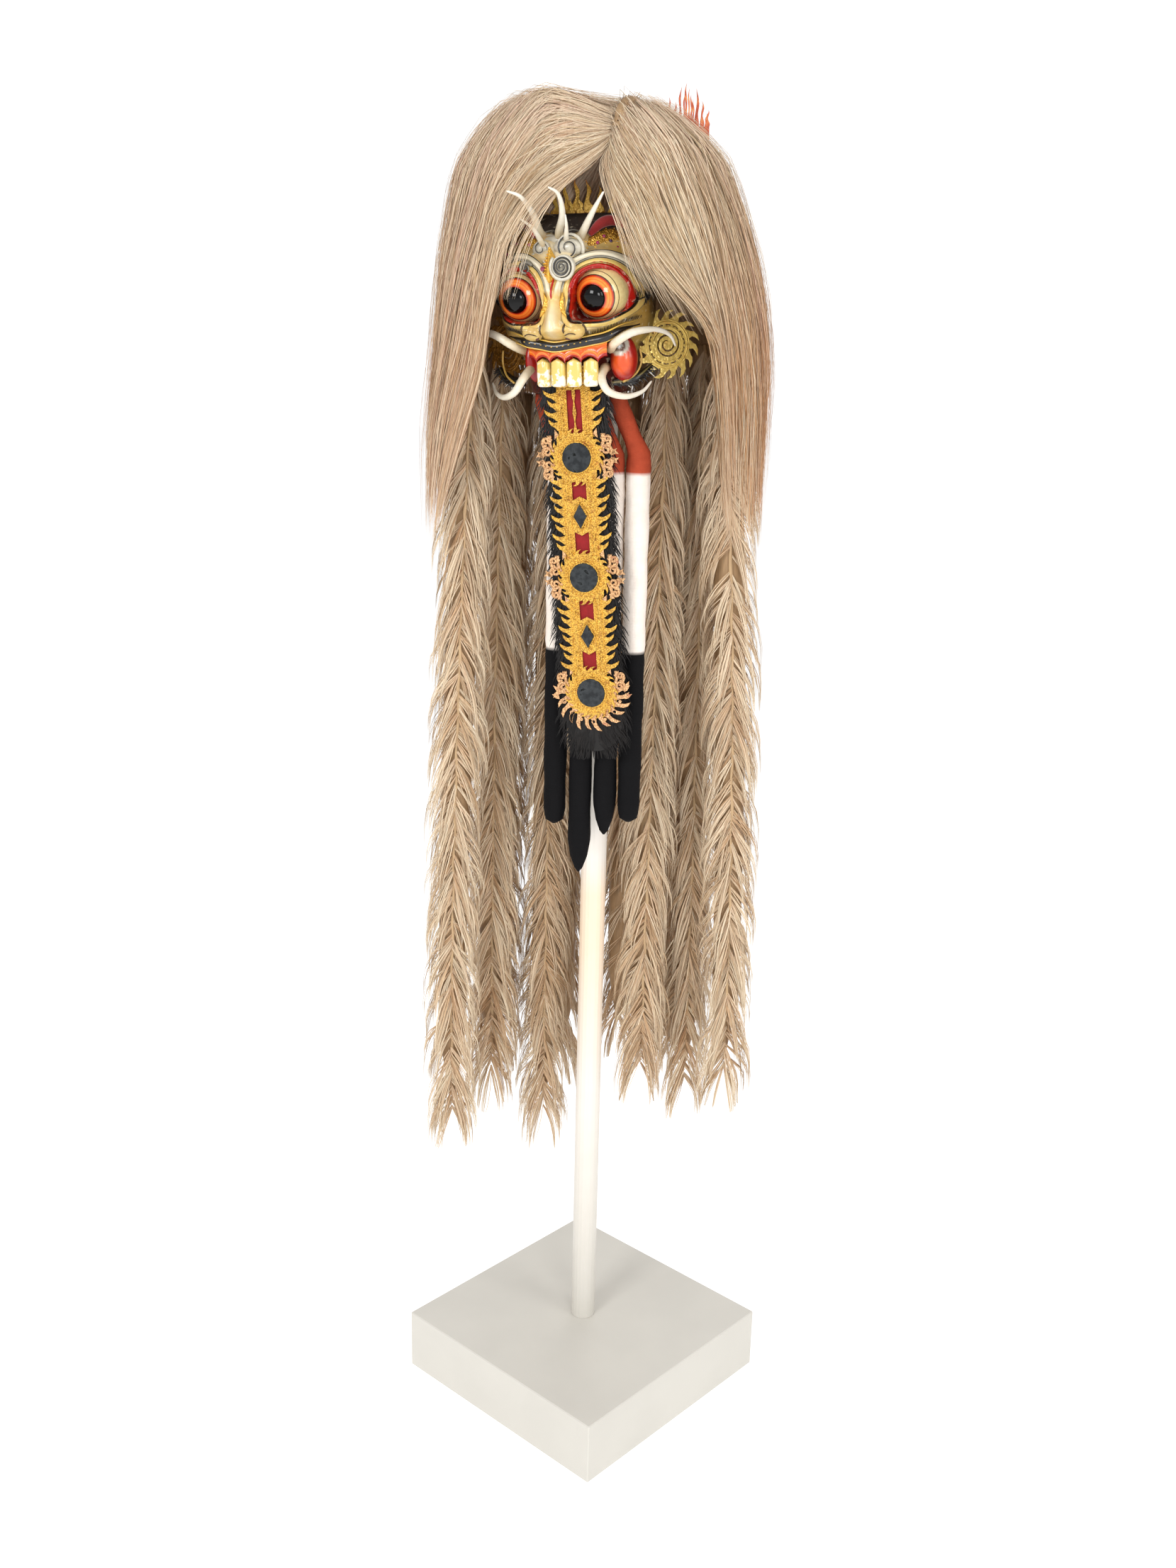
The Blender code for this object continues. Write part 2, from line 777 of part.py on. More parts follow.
def crescent(centre, inner, outer, start, sweep, steps):
    """A curved slit, for the openwork."""
    points = []
    for radius, order in ((outer, range(steps + 1)), (inner, range(steps, -1, -1))):
        for step in order:
            angle = start + sweep * step / steps
            points.append(
                (centre[0] + radius * math.cos(angle), centre[1] + radius * math.sin(angle))
            )
    return points


def make_ear_ornaments(group, seat):
    centre = (EAR_RADIUS * 0.86, -0.001)
    edge = LEATHER_THICKNESS / 2
    outline = []
    for x, y in flame_ring(centre, EAR_RADIUS * 0.74, EAR_RADIUS, EAR_FLAMES):
        outline.append((max(x, edge), y))
    slits = [
        crescent(centre, EAR_RADIUS * 0.50, EAR_RADIUS * 0.58, start, 1.5, 4)
        for start in (0.3, 2.4, 4.5)
    ]
    for side, name in ((1, "right"), (-1, "left")):
        turned = [(side * x, y) for x, y in outline]
        cuts = [[(side * x, y) for x, y in slit] for slit in slits]
        ear = slab("ear_ornament_" + name, turned, LEATHER_THICKNESS, cuts)
        put(ear, group, seat, GILT)
        # The plate starts at the back of the jaw's rim and flares backwards from it
        rim = MASK_HALF_WIDTH * between(FACE_OUTLINE, EAR_HEIGHT, 1) - EAR_INSET
        back = (LEATHER_THICKNESS / 2 + CLEARANCE) / math.cos(EAR_FLARE) + EAR_SETBACK
        ear.location = (side * rim, back, EAR_HEIGHT)
        face_forward = Matrix.Rotation(math.radians(90), 4, "X")
        flare = Matrix.Rotation(side * EAR_FLARE, 4, "Z")
        ear.matrix_local = Matrix.Translation(ear.location) @ flare @ face_forward


def flame_plate(width, height, flames, base):
    """A band with a row of upright wavy flames, tallest in the middle."""
    points = [(-width / 2, 0.0), (width / 2, 0.0), (width / 2, base)]
    for flame in range(flames):
        centre = width / 2 - width * (flame + 0.5) / flames
        share = 1 - abs(2 * centre / width)
        tall = base + (height - base) * (0.30 + 0.70 * share)
        half = 0.5 * width / flames
        middle = (base + tall) / 2
        points.append((centre + 0.55 * half, middle))
        points.append((centre - 0.15 * half, tall))
        points.append((centre - 0.35 * half, middle))
        points.append((centre - half, base))
    return points


def make_crown(group, seat):
    outline = flame_plate(CROWN_WIDTH, CROWN_HEIGHT, CROWN_FLAMES, CROWN_BAND)
    crown = slab("crown", outline, LEATHER_THICKNESS)
    put(crown, group, seat, GILT)
    crown.location = (0.0, -LEATHER_THICKNESS / 2, MASK_TOP + CLEARANCE)
    crown.rotation_euler.x = math.radians(90)


def make_crest(group):
    outline = flame_plate(CREST_WIDTH, CREST_HEIGHT, CREST_FLAMES, CREST_HEIGHT / 2)
    crest = put(slab("crest_flames", outline, LEATHER_THICKNESS), group, finish=RED_GILT)
    crest.location = (CREST_X, CREST_Y, CREST_BASE)
    crest.rotation_euler.x = math.radians(90)


def make_brow_plates(group, seat):
    for side, name in ((1, "right"), (-1, "left")):
        rings = []
        for proud in (CLEARANCE, CLEARANCE + LEATHER_THICKNESS):
            ring = []
            for u, v in BROW_PLATE:
                w = temple_plane(u, v) + proud
                ring.append((side * u, -w, v))
            rings.append(ring)
        put(loft("brow_plate_" + name, rings), group, seat, GILT)


def make_forehead_leaf(group, seat):
    """The gilt leaf between the brows, with a ridge down its middle."""
    base = LEAF_SEAT + CLEARANCE
    shape = (
        (0.0, 0.00),
        (0.55, 0.10),
        (1.00, 0.32),
        (0.62, 0.68),
        (0.0, 1.00),
        (-0.62, 0.68),
        (-1.00, 0.32),
        (-0.55, 0.10),
    )
    rings = []
    for share, forward in ((1.0, 0.0), (0.92, 0.35), (0.18, 1.0)):
        ring = []
        for across, up in shape:
            u = LEAF_SHIFT + across * LEAF_HALF_WIDTH * share
            v = LEAF_BOTTOM + LEAF_HEIGHT * (0.40 + (up - 0.40) * max(share, 0.45))
            ring.append((u, -(base + LEAF_RIDGE * forward), v))
        rings.append(ring)
    put(loft("forehead_leaf", rings), group, seat, GILT)


def tongue_outline():
    """Half-widths down the tongue: a band with flames, and a halo at each round mirror."""
    right = []
    for index in range(int(ROUND_MIRRORS[-1] / TONGUE_STEP)):
        down = index * TONGUE_STEP
        width = TONGUE_BAND
        reach = TONGUE_FLAME if down > TONGUE_HIDDEN else 0.0
        for mirror in ROUND_MIRRORS:
            away = abs(down - mirror)
            if away < HALO_RADIUS:
                halo = math.sqrt(HALO_RADIUS**2 - away**2)
                width = max(width, halo)
                reach += (HALO_FLAME - TONGUE_FLAME) * (halo / HALO_RADIUS) ** 2
        right.append((width + (reach if index % 2 else 0.0), -down))
    centre = (0.0, -ROUND_MIRRORS[-1])
    end = flame_ring(centre, HALO_RADIUS, HALO_RADIUS + HALO_FLAME, 8, 0.0, -math.pi)
    left = [(-x, y) for x, y in reversed(right)]
    return [point for point in right if point[1] > centre[1] + 0.004] + end + [
        (-HALO_RADIUS, centre[1]),
        *[point for point in left if point[1] > centre[1] + 0.004],
    ]


def diamond(centre, width, height):
    x, y = centre
    return [(x + width / 2, y), (x, y + height / 2), (x - width / 2, y), (x, y - height / 2)]


def window(centre, width, height):
    x, y = centre
    half, tall = width / 2, height / 2
    return [(x - half, y - tall), (x + half, y - tall), (x + half, y + tall), (x - half, y + tall)]


def strip(width, length):
    """A strip with a pointed round end."""
    half = width / 2
    points = [(-half, 0.0)]
    for step in range(7):
        angle = math.pi + math.pi * step / 6
        points.append((half * math.cos(angle), -length + half + half * math.sin(angle)))
    points.append((half, 0.0))
    return points


def make_tongue(group, seat):
    root = bpy.data.objects.new("tongue_seat", None)
    group.objects.link(root)
    root.parent = seat
    root.location = (TONGUE_SHIFT, -(MOUTH_FLOOR + CLEARANCE), TONGUE_TOP)
    root.rotation_euler.y = TONGUE_LEAN
    gaps = []
    stops = (0.0, *sorted(ROUND_MIRRORS + DIAMOND_MIRRORS))
    for above, below in zip(stops, stops[1:]):
        top = TONGUE_HIDDEN if above == 0.0 else above + mirror_half_height(above) + WINDOW_MARGIN
        bottom = below - mirror_half_height(below) - WINDOW_MARGIN
        gaps.append(window((0.0, -(top + bottom) / 2), WINDOW_WIDTH, bottom - top))
    layers = (
        ("tongue_fur", strip(FUR_WIDTH, TONGUE_LENGTH + FUR_TAIL), FUR_THICKNESS, (), BLACK_FUR),
        ("tongue_cloth", strip(CLOTH_WIDTH, ROUND_MIRRORS[-1]), CLOTH_THICKNESS, (), RED_CLOTH),
        ("tongue_leather", tongue_outline(), LEATHER_THICKNESS, gaps, GILT),
    )
    depth = 0.0
    for name, outline, thickness, holes, finish in layers:
        layer = put(slab(name, outline, thickness, holes), group, root, finish)
        layer.location.y = -(depth + thickness / 2)
        layer.rotation_euler.x = math.radians(90)
        depth += thickness + CLEARANCE
    make_mirrors(group, root, depth)


def mirror_half_height(down):
    return MIRROR_RADIUS if down in ROUND_MIRRORS else DIAMOND_HEIGHT / 2


def make_mirrors(group, root, depth):
    for index, down in enumerate(sorted(ROUND_MIRRORS + DIAMOND_MIRRORS)):
        outline = (
            circle((0.0, 0.0), MIRROR_RADIUS, 20)
            if down in ROUND_MIRRORS
            else diamond((0.0, 0.0), DIAMOND_WIDTH, DIAMOND_HEIGHT)
        )
        mirror = slab("mirror_" + str(index + 1), outline, MIRROR_THICKNESS)
        put(mirror, group, root, MIRROR)
        mirror.location = (0.0, -(depth + MIRROR_THICKNESS / 2), -down)
        mirror.rotation_euler.x = math.radians(90)


def make_cloth_tubes(group, seat):
    turn = seat.matrix_basis
    for index, (u, end, pointed) in enumerate(CLOTH_TUBES):
        top = turn @ mask_vector((u, MASK_BOTTOM, TUBE_FORWARD))
        top.z -= CLEARANCE + TUBE_NECK * math.sin(abs(MASK_TILT)) * 2
        low = Vector(end)
        shares = (0.0, 0.02, 0.13, 0.35, 0.65, 0.93, 0.98, 1.0)
        taper = (0.9, 0.62, 0.20) if pointed else (1.0, 0.92, 0.66)
        path = []
        for share in shares:
            swing = min(1.0, max(0.0, share - 0.02) / 0.11)
            place = top.lerp(low, swing)
            place.z = top.z + (low.z - top.z) * share
            path.append(place)
        radii = [TUBE_NECK, TUBE_NECK, *[TUBE_RADIUS] * 3, *[TUBE_RADIUS * part for part in taper]]
        put(tube("cloth_tube_" + str(index + 1), path, radii), group, finish=RUST_CLOTH)


def make_seat(group):
    """An empty in the middle of the mask's rim, facing as the mask faces."""
    seat = bpy.data.objects.new("mask_seat", None)
    group.objects.link(seat)
    turn = Matrix.Rotation(MASK_TURN, 4, "Z") @ Matrix.Rotation(MASK_TILT, 4, "Y")
    spot = Matrix.Rotation(MASK_TURN, 4, "Z") @ Vector((MASK_SIDE_SHIFT, MASK_BACK_Y, 0.0))
    spot.z = MASK_EYE_HEIGHT
    seat.matrix_basis = Matrix.Translation(spot) @ turn
    return seat


WHITE_PAINT = material("white painted wood", (0.80, 0.77, 0.72), 0.6)
HAIR = material("horse hair and fibre", (0.55, 0.43, 0.30), 0.8)
PAINTED_WOOD = material("painted wood", (0.72, 0.58, 0.26), 0.3)
IVORY = material("boar tusk", (0.85, 0.80, 0.70), 0.25)
GILT = material("gilt leather", (0.80, 0.50, 0.10), 0.35, 0.8)
RED_GILT = material("red lacquered leather", (0.55, 0.12, 0.04), 0.5)
BLACK_FUR = material("black goat hair", (0.02, 0.015, 0.012), 0.8)
RED_CLOTH = material("red cloth", (0.35, 0.02, 0.02), 0.9)
MIRROR = material("mirror glass", (0.25, 0.27, 0.28), 0.1, 1.0)
RUST_CLOTH = material("rust cotton", (0.42, 0.09, 0.04), 0.9)


def main():
    clear_scene()
    group = collection("dance_mask")
    cutters = collection("cutters", is_helper=True)
    seat = make_seat(group)
    make_plinth(group)
    make_pole(group)
    make_hair_cap(group, cutters, seat)
    make_hair_ropes(group)
    make_mask_face(group, cutters, seat)
    make_tusks(group, seat)
    make_ear_ornaments(group, seat)
    make_crown(group, seat)
    make_crest(group)
    make_brow_plates(group, seat)
    make_forehead_leaf(group, seat)
    make_tongue(group, seat)
    make_cloth_tubes(group, seat)


main()
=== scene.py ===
"""Fine shapes and finishes of a Balinese demon dance mask on its museum stand.

The packed model is the frame: the front is towards -Y and lengths are in metres.
Points written (u, v, w) are sideways, up and forward in the carved mask's own frame.
"""

import math

import bmesh
import bpy
import numpy as np
from bpy.props import FloatProperty, FloatVectorProperty, IntProperty, PointerProperty
from mathutils import Matrix, Vector


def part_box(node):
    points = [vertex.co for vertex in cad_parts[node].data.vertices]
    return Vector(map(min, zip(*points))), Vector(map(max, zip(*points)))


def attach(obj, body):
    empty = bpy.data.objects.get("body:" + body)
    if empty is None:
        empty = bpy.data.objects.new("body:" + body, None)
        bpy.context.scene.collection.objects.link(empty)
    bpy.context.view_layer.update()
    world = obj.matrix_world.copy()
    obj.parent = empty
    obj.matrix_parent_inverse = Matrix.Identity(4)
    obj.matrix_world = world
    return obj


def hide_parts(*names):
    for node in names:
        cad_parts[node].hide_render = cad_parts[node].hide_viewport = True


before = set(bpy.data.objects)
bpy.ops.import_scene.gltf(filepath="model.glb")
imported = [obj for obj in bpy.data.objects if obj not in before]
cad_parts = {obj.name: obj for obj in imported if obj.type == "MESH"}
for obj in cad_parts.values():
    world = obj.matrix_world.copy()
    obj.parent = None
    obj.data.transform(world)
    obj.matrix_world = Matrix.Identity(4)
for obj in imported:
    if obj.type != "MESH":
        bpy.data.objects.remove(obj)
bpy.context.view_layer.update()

bl_info = {
    "name": "Dance Mask Dresser",
    "version": (1, 0, 0),
    "blender": (4, 5, 0),
    "location": "3D View > Sidebar > Dance Mask",
    "description": "Adds carving, gilding and hair of a Balinese demon mask to its packed model",
    "category": "Object",
}

# Where the mask sits on its stand
MASK_TURN = math.radians(-17.0)
MASK_TILT = math.radians(-2.5)
MASK_SHIFT = -0.021
MASK_BACK = -0.06
EYE_LEVEL = 1.68
SEAT = (
    Matrix.Translation((0.0, 0.0, EYE_LEVEL))
    @ Matrix.Rotation(MASK_TURN, 4, "Z")
    @ Matrix.Translation((MASK_SHIFT, MASK_BACK, 0.0))
    @ Matrix.Rotation(MASK_TILT, 4, "Y")
)

# Carved face: half-width and depth at each height, then the forms raised on it
FACE_HALF_WIDTH = 0.104
FACE_TOP = 0.125
FACE_BOTTOM = -0.1
FACE_DEPTH = 0.105
FACE_HEIGHTS = (-0.1, -0.06, -0.038, -0.024, 0.0, 0.045, 0.075, 0.1, 0.125)
FACE_WIDTHS = (0.64, 0.7, 0.8, 0.93, 0.99, 1.0, 0.95, 0.82, 0.54)
FACE_DEPTHS = (0.62, 0.74, 0.94, 0.98, 1.0, 0.99, 0.88, 0.68, 0.32)
MOUTH_FLOOR = 0.058
EYE_CENTRES = {"right": (0.0525, 0.0245), "left": (-0.0575, 0.0235)}
EYEBALL_RADIUS = 0.0352
EYEBALL_FORWARD = 0.073
PUPIL_RADIUS = 0.0168
GAZE = Vector((-0.15, -0.24, 1.0)).normalized()
LID_RADIUS = 0.034
BROW_RADIUS = 0.049

# Mouth
LIP_POINTS = (
    (-0.074, -0.026), (-0.056, -0.03), (-0.04, -0.034), (-0.022, -0.037), (-0.004, -0.04),
    (0.018, -0.037), (0.04, -0.033), (0.058, -0.029), (0.076, -0.02), (0.094, -0.014),
)
GUM_MIDDLE = 0.008
GUM_HALF_WIDTH = 0.052
GUM_BOTTOM = -0.06
GUM_FORWARD = 0.108
TOOTH_ARCH = 6.0
TOOTH_WIDTH = 0.0205
TOOTH_TOP = -0.054
TOOTH_BOTTOM = -0.09

# Tusks, each a list of (u, v, w)
MOUTH_TUSK_RADIUS = 0.0062
UPPER_TUSK = (
    (0.056, -0.045, 0.055), (0.06, -0.043, 0.073), (0.07, -0.036, 0.09), (0.092, -0.024, 0.088),
    (0.116, -0.021, 0.064), (0.131, -0.028, 0.046), (0.136, -0.043, 0.03),
)
LOWER_TUSK = (
    (0.049, -0.067, 0.055), (0.05, -0.069, 0.073), (0.053, -0.08, 0.097), (0.063, -0.096, 0.103),
    (0.082, -0.103, 0.088), (0.099, -0.098, 0.068), (0.109, -0.085, 0.053),
)
BROW_TUSKS = (
    (0.0056, ((-0.026, 0.094, 0.066), (-0.028, 0.101, 0.085), (-0.03, 0.123, 0.109),
              (-0.04, 0.141, 0.125), (-0.056, 0.148, 0.132))),
    (0.004, ((-0.021, 0.08, 0.086), (-0.022, 0.09, 0.104), (-0.027, 0.104, 0.12),
              (-0.039, 0.115, 0.134))),
    (0.0056, ((-0.004, 0.09, 0.07), (-0.002, 0.098, 0.088), (0.009, 0.12, 0.109),
              (0.009, 0.142, 0.125), (0.0, 0.15, 0.139))),
    (0.004, ((0.01, 0.08, 0.086), (0.012, 0.09, 0.104), (0.017, 0.105, 0.12),
              (0.019, 0.118, 0.131))),
    (0.0056, ((0.021, 0.089, 0.068), (0.027, 0.095, 0.086), (0.047, 0.119, 0.109),
              (0.067, 0.143, 0.126))),
)

# Gilt ornaments
LEATHER = 0.002
EAR_RADIUS = 0.047
EAR_HEIGHT = -0.04
EAR_RIM = 0.0785
EAR_FLARE = math.radians(35.0)
LEAF_MIDDLE = (-0.008, 0.031)
LEAF_HEIGHT = 0.05
LEAF_HALF_WIDTH = 0.0135
LEAF_BACK = 0.1085
LEAF_RIDGE = 0.017
BROW_PLATE = (
    (0.03, 0.072), (0.044, 0.081), (0.06, 0.083), (0.076, 0.075), (0.086, 0.06),
    (0.084, 0.08), (0.074, 0.096), (0.06, 0.104), (0.045, 0.101), (0.033, 0.09),
)
TEMPLE_FORWARD = 0.09
TEMPLE_CORNER = (0.035, 0.07)
TEMPLE_SLOPES = (0.8, 0.62)

# Tongue: its own frame hangs from the gum, with y down its length
TONGUE_TOP = -0.065
TONGUE_SHIFT = 0.0055
TONGUE_LEAN = math.radians(-2.4)
TONGUE_BAND = 0.026
TONGUE_FRONT = 0.0681
HALO_RADIUS = 0.036
MIRROR_RADIUS = 0.0195
ROUND_MIRRORS = (0.117, 0.276, 0.435)
DIAMOND_MIRRORS = (0.194, 0.356)
FUR_LENGTH = 0.521
FUR_HALF_WIDTH = 0.036

# Stuffed cloth tubes: place under the jaw, lower end and whether it is pointed
TUBE_TOP_FORWARD = 0.022
CLOTH_TUBES = (
    (-0.046, (-0.062, -0.078, 0.976), False),
    (-0.01, (-0.026, -0.088, 0.904), True),
    (0.024, (0.009, -0.094, 0.964), True),
    (0.056, (0.043, -0.1, 0.986), False),
)
CREAM_TOP = 1.477
BLACK_TOP = 1.234

# Outline of the combed hair: drop and half-width as shares, and its sideways shift
HAIR_TOP = 1.953
HAIR_LENGTH = 0.6
HAIR_HALF_WIDTH = 0.239
HAIR_DEPTH_SHARE = 0.95
HAIR_DROPS = (0.003, 0.02, 0.075, 0.117, 0.175, 0.258, 0.342, 0.442, 0.542, 0.642, 0.758, 1.0)
HAIR_WIDTHS = (0.3, 0.45, 0.62, 0.71, 0.78, 0.84, 0.89, 0.93, 0.955, 0.972, 0.982, 0.985)
HAIR_SHIFTS = (-0.08, -0.14, -0.09, -0.083, -0.079, -0.056, -0.042, -0.027, -0.024, -0.033,
               -0.045, -0.05)
PARTING = ((0.006, -0.118, 1.902), (0.03, -0.07, 1.934), (0.038, -0.01, 1.938),
           (0.034, 0.06, 1.938), (0.01, 0.11, 1.925))
LEFT_EDGE = ((0.005, -0.118, 1.899), (-0.026, -0.118, 1.861), (-0.06, -0.118, 1.833),
             (-0.099, -0.124, 1.804), (-0.124, -0.132, 1.776), (-0.142, -0.142, 1.745),
             (-0.145, -0.148, 1.705), (-0.155, -0.14, 1.664), (-0.162, -0.132, 1.61),
             (-0.177, -0.12, 1.556), (-0.199, -0.104, 1.49), (-0.219, -0.085, 1.421),
             (-0.24, -0.065, 1.355))
RIGHT_EDGE = ((0.008, -0.118, 1.9), (-0.006, -0.14, 1.875), (-0.012, -0.162, 1.84),
              (0.002, -0.178, 1.809), (0.021, -0.19, 1.777), (0.035, -0.198, 1.744),
              (0.07, -0.203, 1.71), (0.106, -0.204, 1.678), (0.127, -0.203, 1.645),
              (0.135, -0.202, 1.597), (0.141, -0.2, 1.532), (0.149, -0.192, 1.459),
              (0.162, -0.184, 1.38))
# Each ordered guide lock: bearing at the crown and at the hem, and its root along the parting
LEFT_GUIDES = ((238, 194, 0.06), (212, 184, 0.3), (172, 166, 0.52), (132, 131, 0.76),
               (90, 89, 0.98))
RIGHT_GUIDES = ((288, 322, 0.06), (318, 342, 0.3), (8, 10, 0.52), (48, 50, 0.76), (92, 92, 0.98))
# Loose strands that cross the brow and temple
LEFT_WISPS = (((0.004, -0.108, 1.902), (-0.016, -0.062, 1.88), (-0.05, -0.036, 1.842),
    (-0.085, -0.03, 1.79)), ((0.002, -0.108, 1.902), (-0.006, -0.06, 1.878), (-0.022, -0.03, 1.836),
    (-0.034, -0.02, 1.79)), ((0.004, -0.118, 1.9), (-0.027, -0.138, 1.874), (-0.061, -0.15, 1.852),
    (-0.091, -0.162, 1.83), (-0.117, -0.17, 1.8), (-0.137, -0.168, 1.758),
    (-0.148, -0.16, 1.698)), ((0.001, -0.118, 1.897), (-0.034, -0.138, 1.866),
    (-0.069, -0.155, 1.833), (-0.097, -0.172, 1.8), (-0.121, -0.172, 1.758),
    (-0.14, -0.165, 1.699)))
RIGHT_WISPS = (((0.006, -0.11, 1.902), (0.022, -0.064, 1.882), (0.05, -0.04, 1.846),
    (0.078, -0.034, 1.79)), ((0.006, -0.108, 1.902), (0.006, -0.06, 1.88), (0.012, -0.03, 1.836),
    (0.018, -0.02, 1.79)), ((0.008, -0.118, 1.9), (-0.014, -0.145, 1.862), (-0.006, -0.168, 1.823),
    (0.012, -0.185, 1.777), (0.027, -0.186, 1.737), (0.044, -0.18, 1.705)), ((0.008, -0.118, 1.9),
    (-0.01, -0.145, 1.866), (0.01, -0.175, 1.811), (0.032, -0.19, 1.761), (0.06, -0.19, 1.718),
    (0.086, -0.184, 1.68)), ((0.008, -0.118, 1.9), (-0.001, -0.145, 1.87), (0.027, -0.18, 1.803),
    (0.056, -0.195, 1.745), (0.088, -0.194, 1.706), (0.116, -0.19, 1.664)))


def strands(shape, hair, guides, sign, rng, count, locks, width, lifts, spread, ends, thin,
            points=14):
    """Strands between the guide locks, gathered in locks that narrow towards their ends."""
    last = len(guides) - 1
    centres = np.linspace(0.0, last, locks) + rng.normal(0, 0.4 * last / locks, locks)
    chosen = rng.integers(locks, size=count)
    stray = rng.normal(0, spread, count)
    t = np.linspace(0, 1, points)[None, :]
    start = rng.uniform(0.0, 0.04, count) + np.where(
        rng.uniform(size=count) < 0.25, rng.uniform(0.02, 0.5, count), 0.0)
    end = rng.uniform(*ends, count) - 0.34 * rng.uniform(size=locks)[chosen] ** 1.6
    share = start[:, None] + (end - start)[:, None] * t
    sway = rng.uniform(0, 6.3, (3, locks))[:, chosen][:, :, None]
    drift = rng.normal(0, 3.4 * spread, count)[:, None] * (share - 0.15)
    place = (centres[chosen][:, None] + drift + stray[:, None] * (1.1 - 0.5 * share)
             + 0.055 * np.sin(share * 5 + sway[0]) + 0.034 * np.sin(share * 11 + sway[1])
             + 0.014 * np.sin(share * 23 + rng.uniform(0, 6.3, count)[:, None]))
    place = np.clip(place, thin * rng.uniform(size=count)[:, None] ** 0.5, last)
    lift = rng.uniform(*lifts, count)[:, None] + 0.0022 * np.sin(share * 6 + sway[2])
    lift = lift * np.clip(0.3 + place, 0, 1)
    normal = outward(guides, place, share, sign)
    wave = 0.0012 * np.sin(share * 31 + rng.uniform(0, 6.3, count)[:, None])
    path = on_guides(guides, place, share) + normal * (lift + wave)[..., None]
    tangent = unit(np.gradient(path, axis=1))
    roll = rng.normal(0, 0.5, count)[:, None, None]
    across = unit(np.cross(tangent, normal) * np.cos(roll) + normal * np.sin(roll))
    widths = width * rng.uniform(0.6, 1.3, count)[:, None] * np.interp(
        t, (0, 0.05, 0.6, 0.9, 1.0), (0.5, 1.0, 0.9, 0.55, 0.06))
    # Painted light: strands lighten towards the crown and towards the lower ends, and strands that
    # lie further out are lighter, deeper ones darker.
    painted_light_top_and_low = (0.35 * np.clip((1.66 - path[..., 2]) / 0.25, 0, 1)
               + 0.35 * np.clip((path[..., 2] - 1.84) / 0.09, 0, 1))
    tone = painted_light_top_and_low + (0.62 + 0.15 * rng.normal(size=locks)[chosen] + 0.2 * rng.normal(size=count)
            + 18 * lift[:, 8])[:, None] + 0.06 * np.sin(share * 20 + sway[0])
    high = np.clip((path[..., 2] - 1.8) / 0.14, 0, 1)
    wide = np.clip(np.abs(path[..., 0]) / 0.2, 0, 1)
    rosy = rng.uniform(size=locks)[chosen][:, None] ** 2 * (0.5 * high + 0.6 * wide**3)
    low = np.clip((1.8 - path[..., 2]) / 0.2, 0, 1)
    reddish = low * rng.uniform(size=locks)[chosen][:, None] * (1.0 if sign < 0 else 0.45)
    tan = reddish * np.clip((np.abs(path[..., 0]) - 0.06) / 0.12, 0, 1)
    ribbons(shape, path, across, widths, dye=dyed(hair, tone, rosy, tan))

# Twisted hair ropes: place of the top and of the tip, and the tip's height
ROPE_TOP = 1.775
ROPES = {
    "hair_rope_left_front": ((-0.172, 0.002), (-0.213, -0.032), 0.44),
    "hair_rope_left_middle": ((-0.138, 0.058), (-0.154, 0.062), 0.458),
    "hair_rope_left_inner": ((-0.066, 0.072), (-0.07, 0.092), 0.37),
    "hair_rope_right_inner": ((0.088, 0.022), (0.081, 0.018), 0.493),
    "hair_rope_right_middle": ((0.136, 0.058), (0.156, 0.066), 0.441),
    "hair_rope_right_front": ((0.148, -0.012), (0.208, -0.016), 0.504),
    "hair_rope_back_1": ((-0.102, 0.114), (-0.146, 0.156), 0.47),
    "hair_rope_back_2": ((-0.03, 0.134), (-0.04, 0.18), 0.42),
    "hair_rope_back_3": ((0.04, 0.132), (0.056, 0.174), 0.48),
    "hair_rope_back_4": ((0.1, 0.112), (0.136, 0.154), 0.45),
}

# Camera of the photograph
CAMERA_PLACE = (-0.1049, -2.2628, 1.6968)
CAMERA_FORWARD = (0.0396, 0.9562, -0.29)
CAMERA_UP = (-0.0107, 0.2906, 0.9568)
CAMERA_LENS = 36.57


def linear(code):
    """A linear colour from its sRGB hex code."""
    parts = [int(code[at:at + 2], 16) / 255 for at in (1, 3, 5)]
    return [part / 12.92 if part <= 0.04045 else ((part + 0.055) / 1.055) ** 2.4 for part in parts]


def rgba(colour):
    """A colour with full cover, from its parts or its hex code."""
    return (*(linear(colour) if isinstance(colour, str) else colour), 1.0)


def colour_property(name, code, description):
    return FloatVectorProperty(
        name=name, description=description, subtype="COLOR", min=0.0, max=1.0, default=linear(code)
    )


class HairSettings(bpy.types.PropertyGroup):
    strands: IntProperty(
        name="Strands", description="Thick strands on each side of the parting", default=1500
    )
    strand_width: FloatProperty(
        name="Strand width", description="Width of a few hairs together",
        default=0.0011, unit="LENGTH",
    )
    tuft_spacing: FloatProperty(
        name="Tuft spacing", description="Height between the tufts of a rope",
        default=0.011, unit="LENGTH",
    )
    tuft_length: FloatProperty(
        name="Tuft length", description="Length of the hair in a rope's tuft",
        default=0.1, unit="LENGTH",
    )
    light: colour_property("Light hair", "#e0cfb2", "Sun-bleached fibre")
    middle: colour_property("Hair", "#c0a27c", "Most of the fibre")
    # The dark hair also serves as painted shade deep in the hair, in the underlayer and in the rope
    # cores.
    dark: colour_property("Dark hair", "#886544", "Fibre low in the locks")
    rosy: colour_property("Rosy hair", "#d1a596", "Fibre that took some red dye")
    tan: colour_property("Tan hair", "#bd8450", "Fibre yellowed at the lower ends")


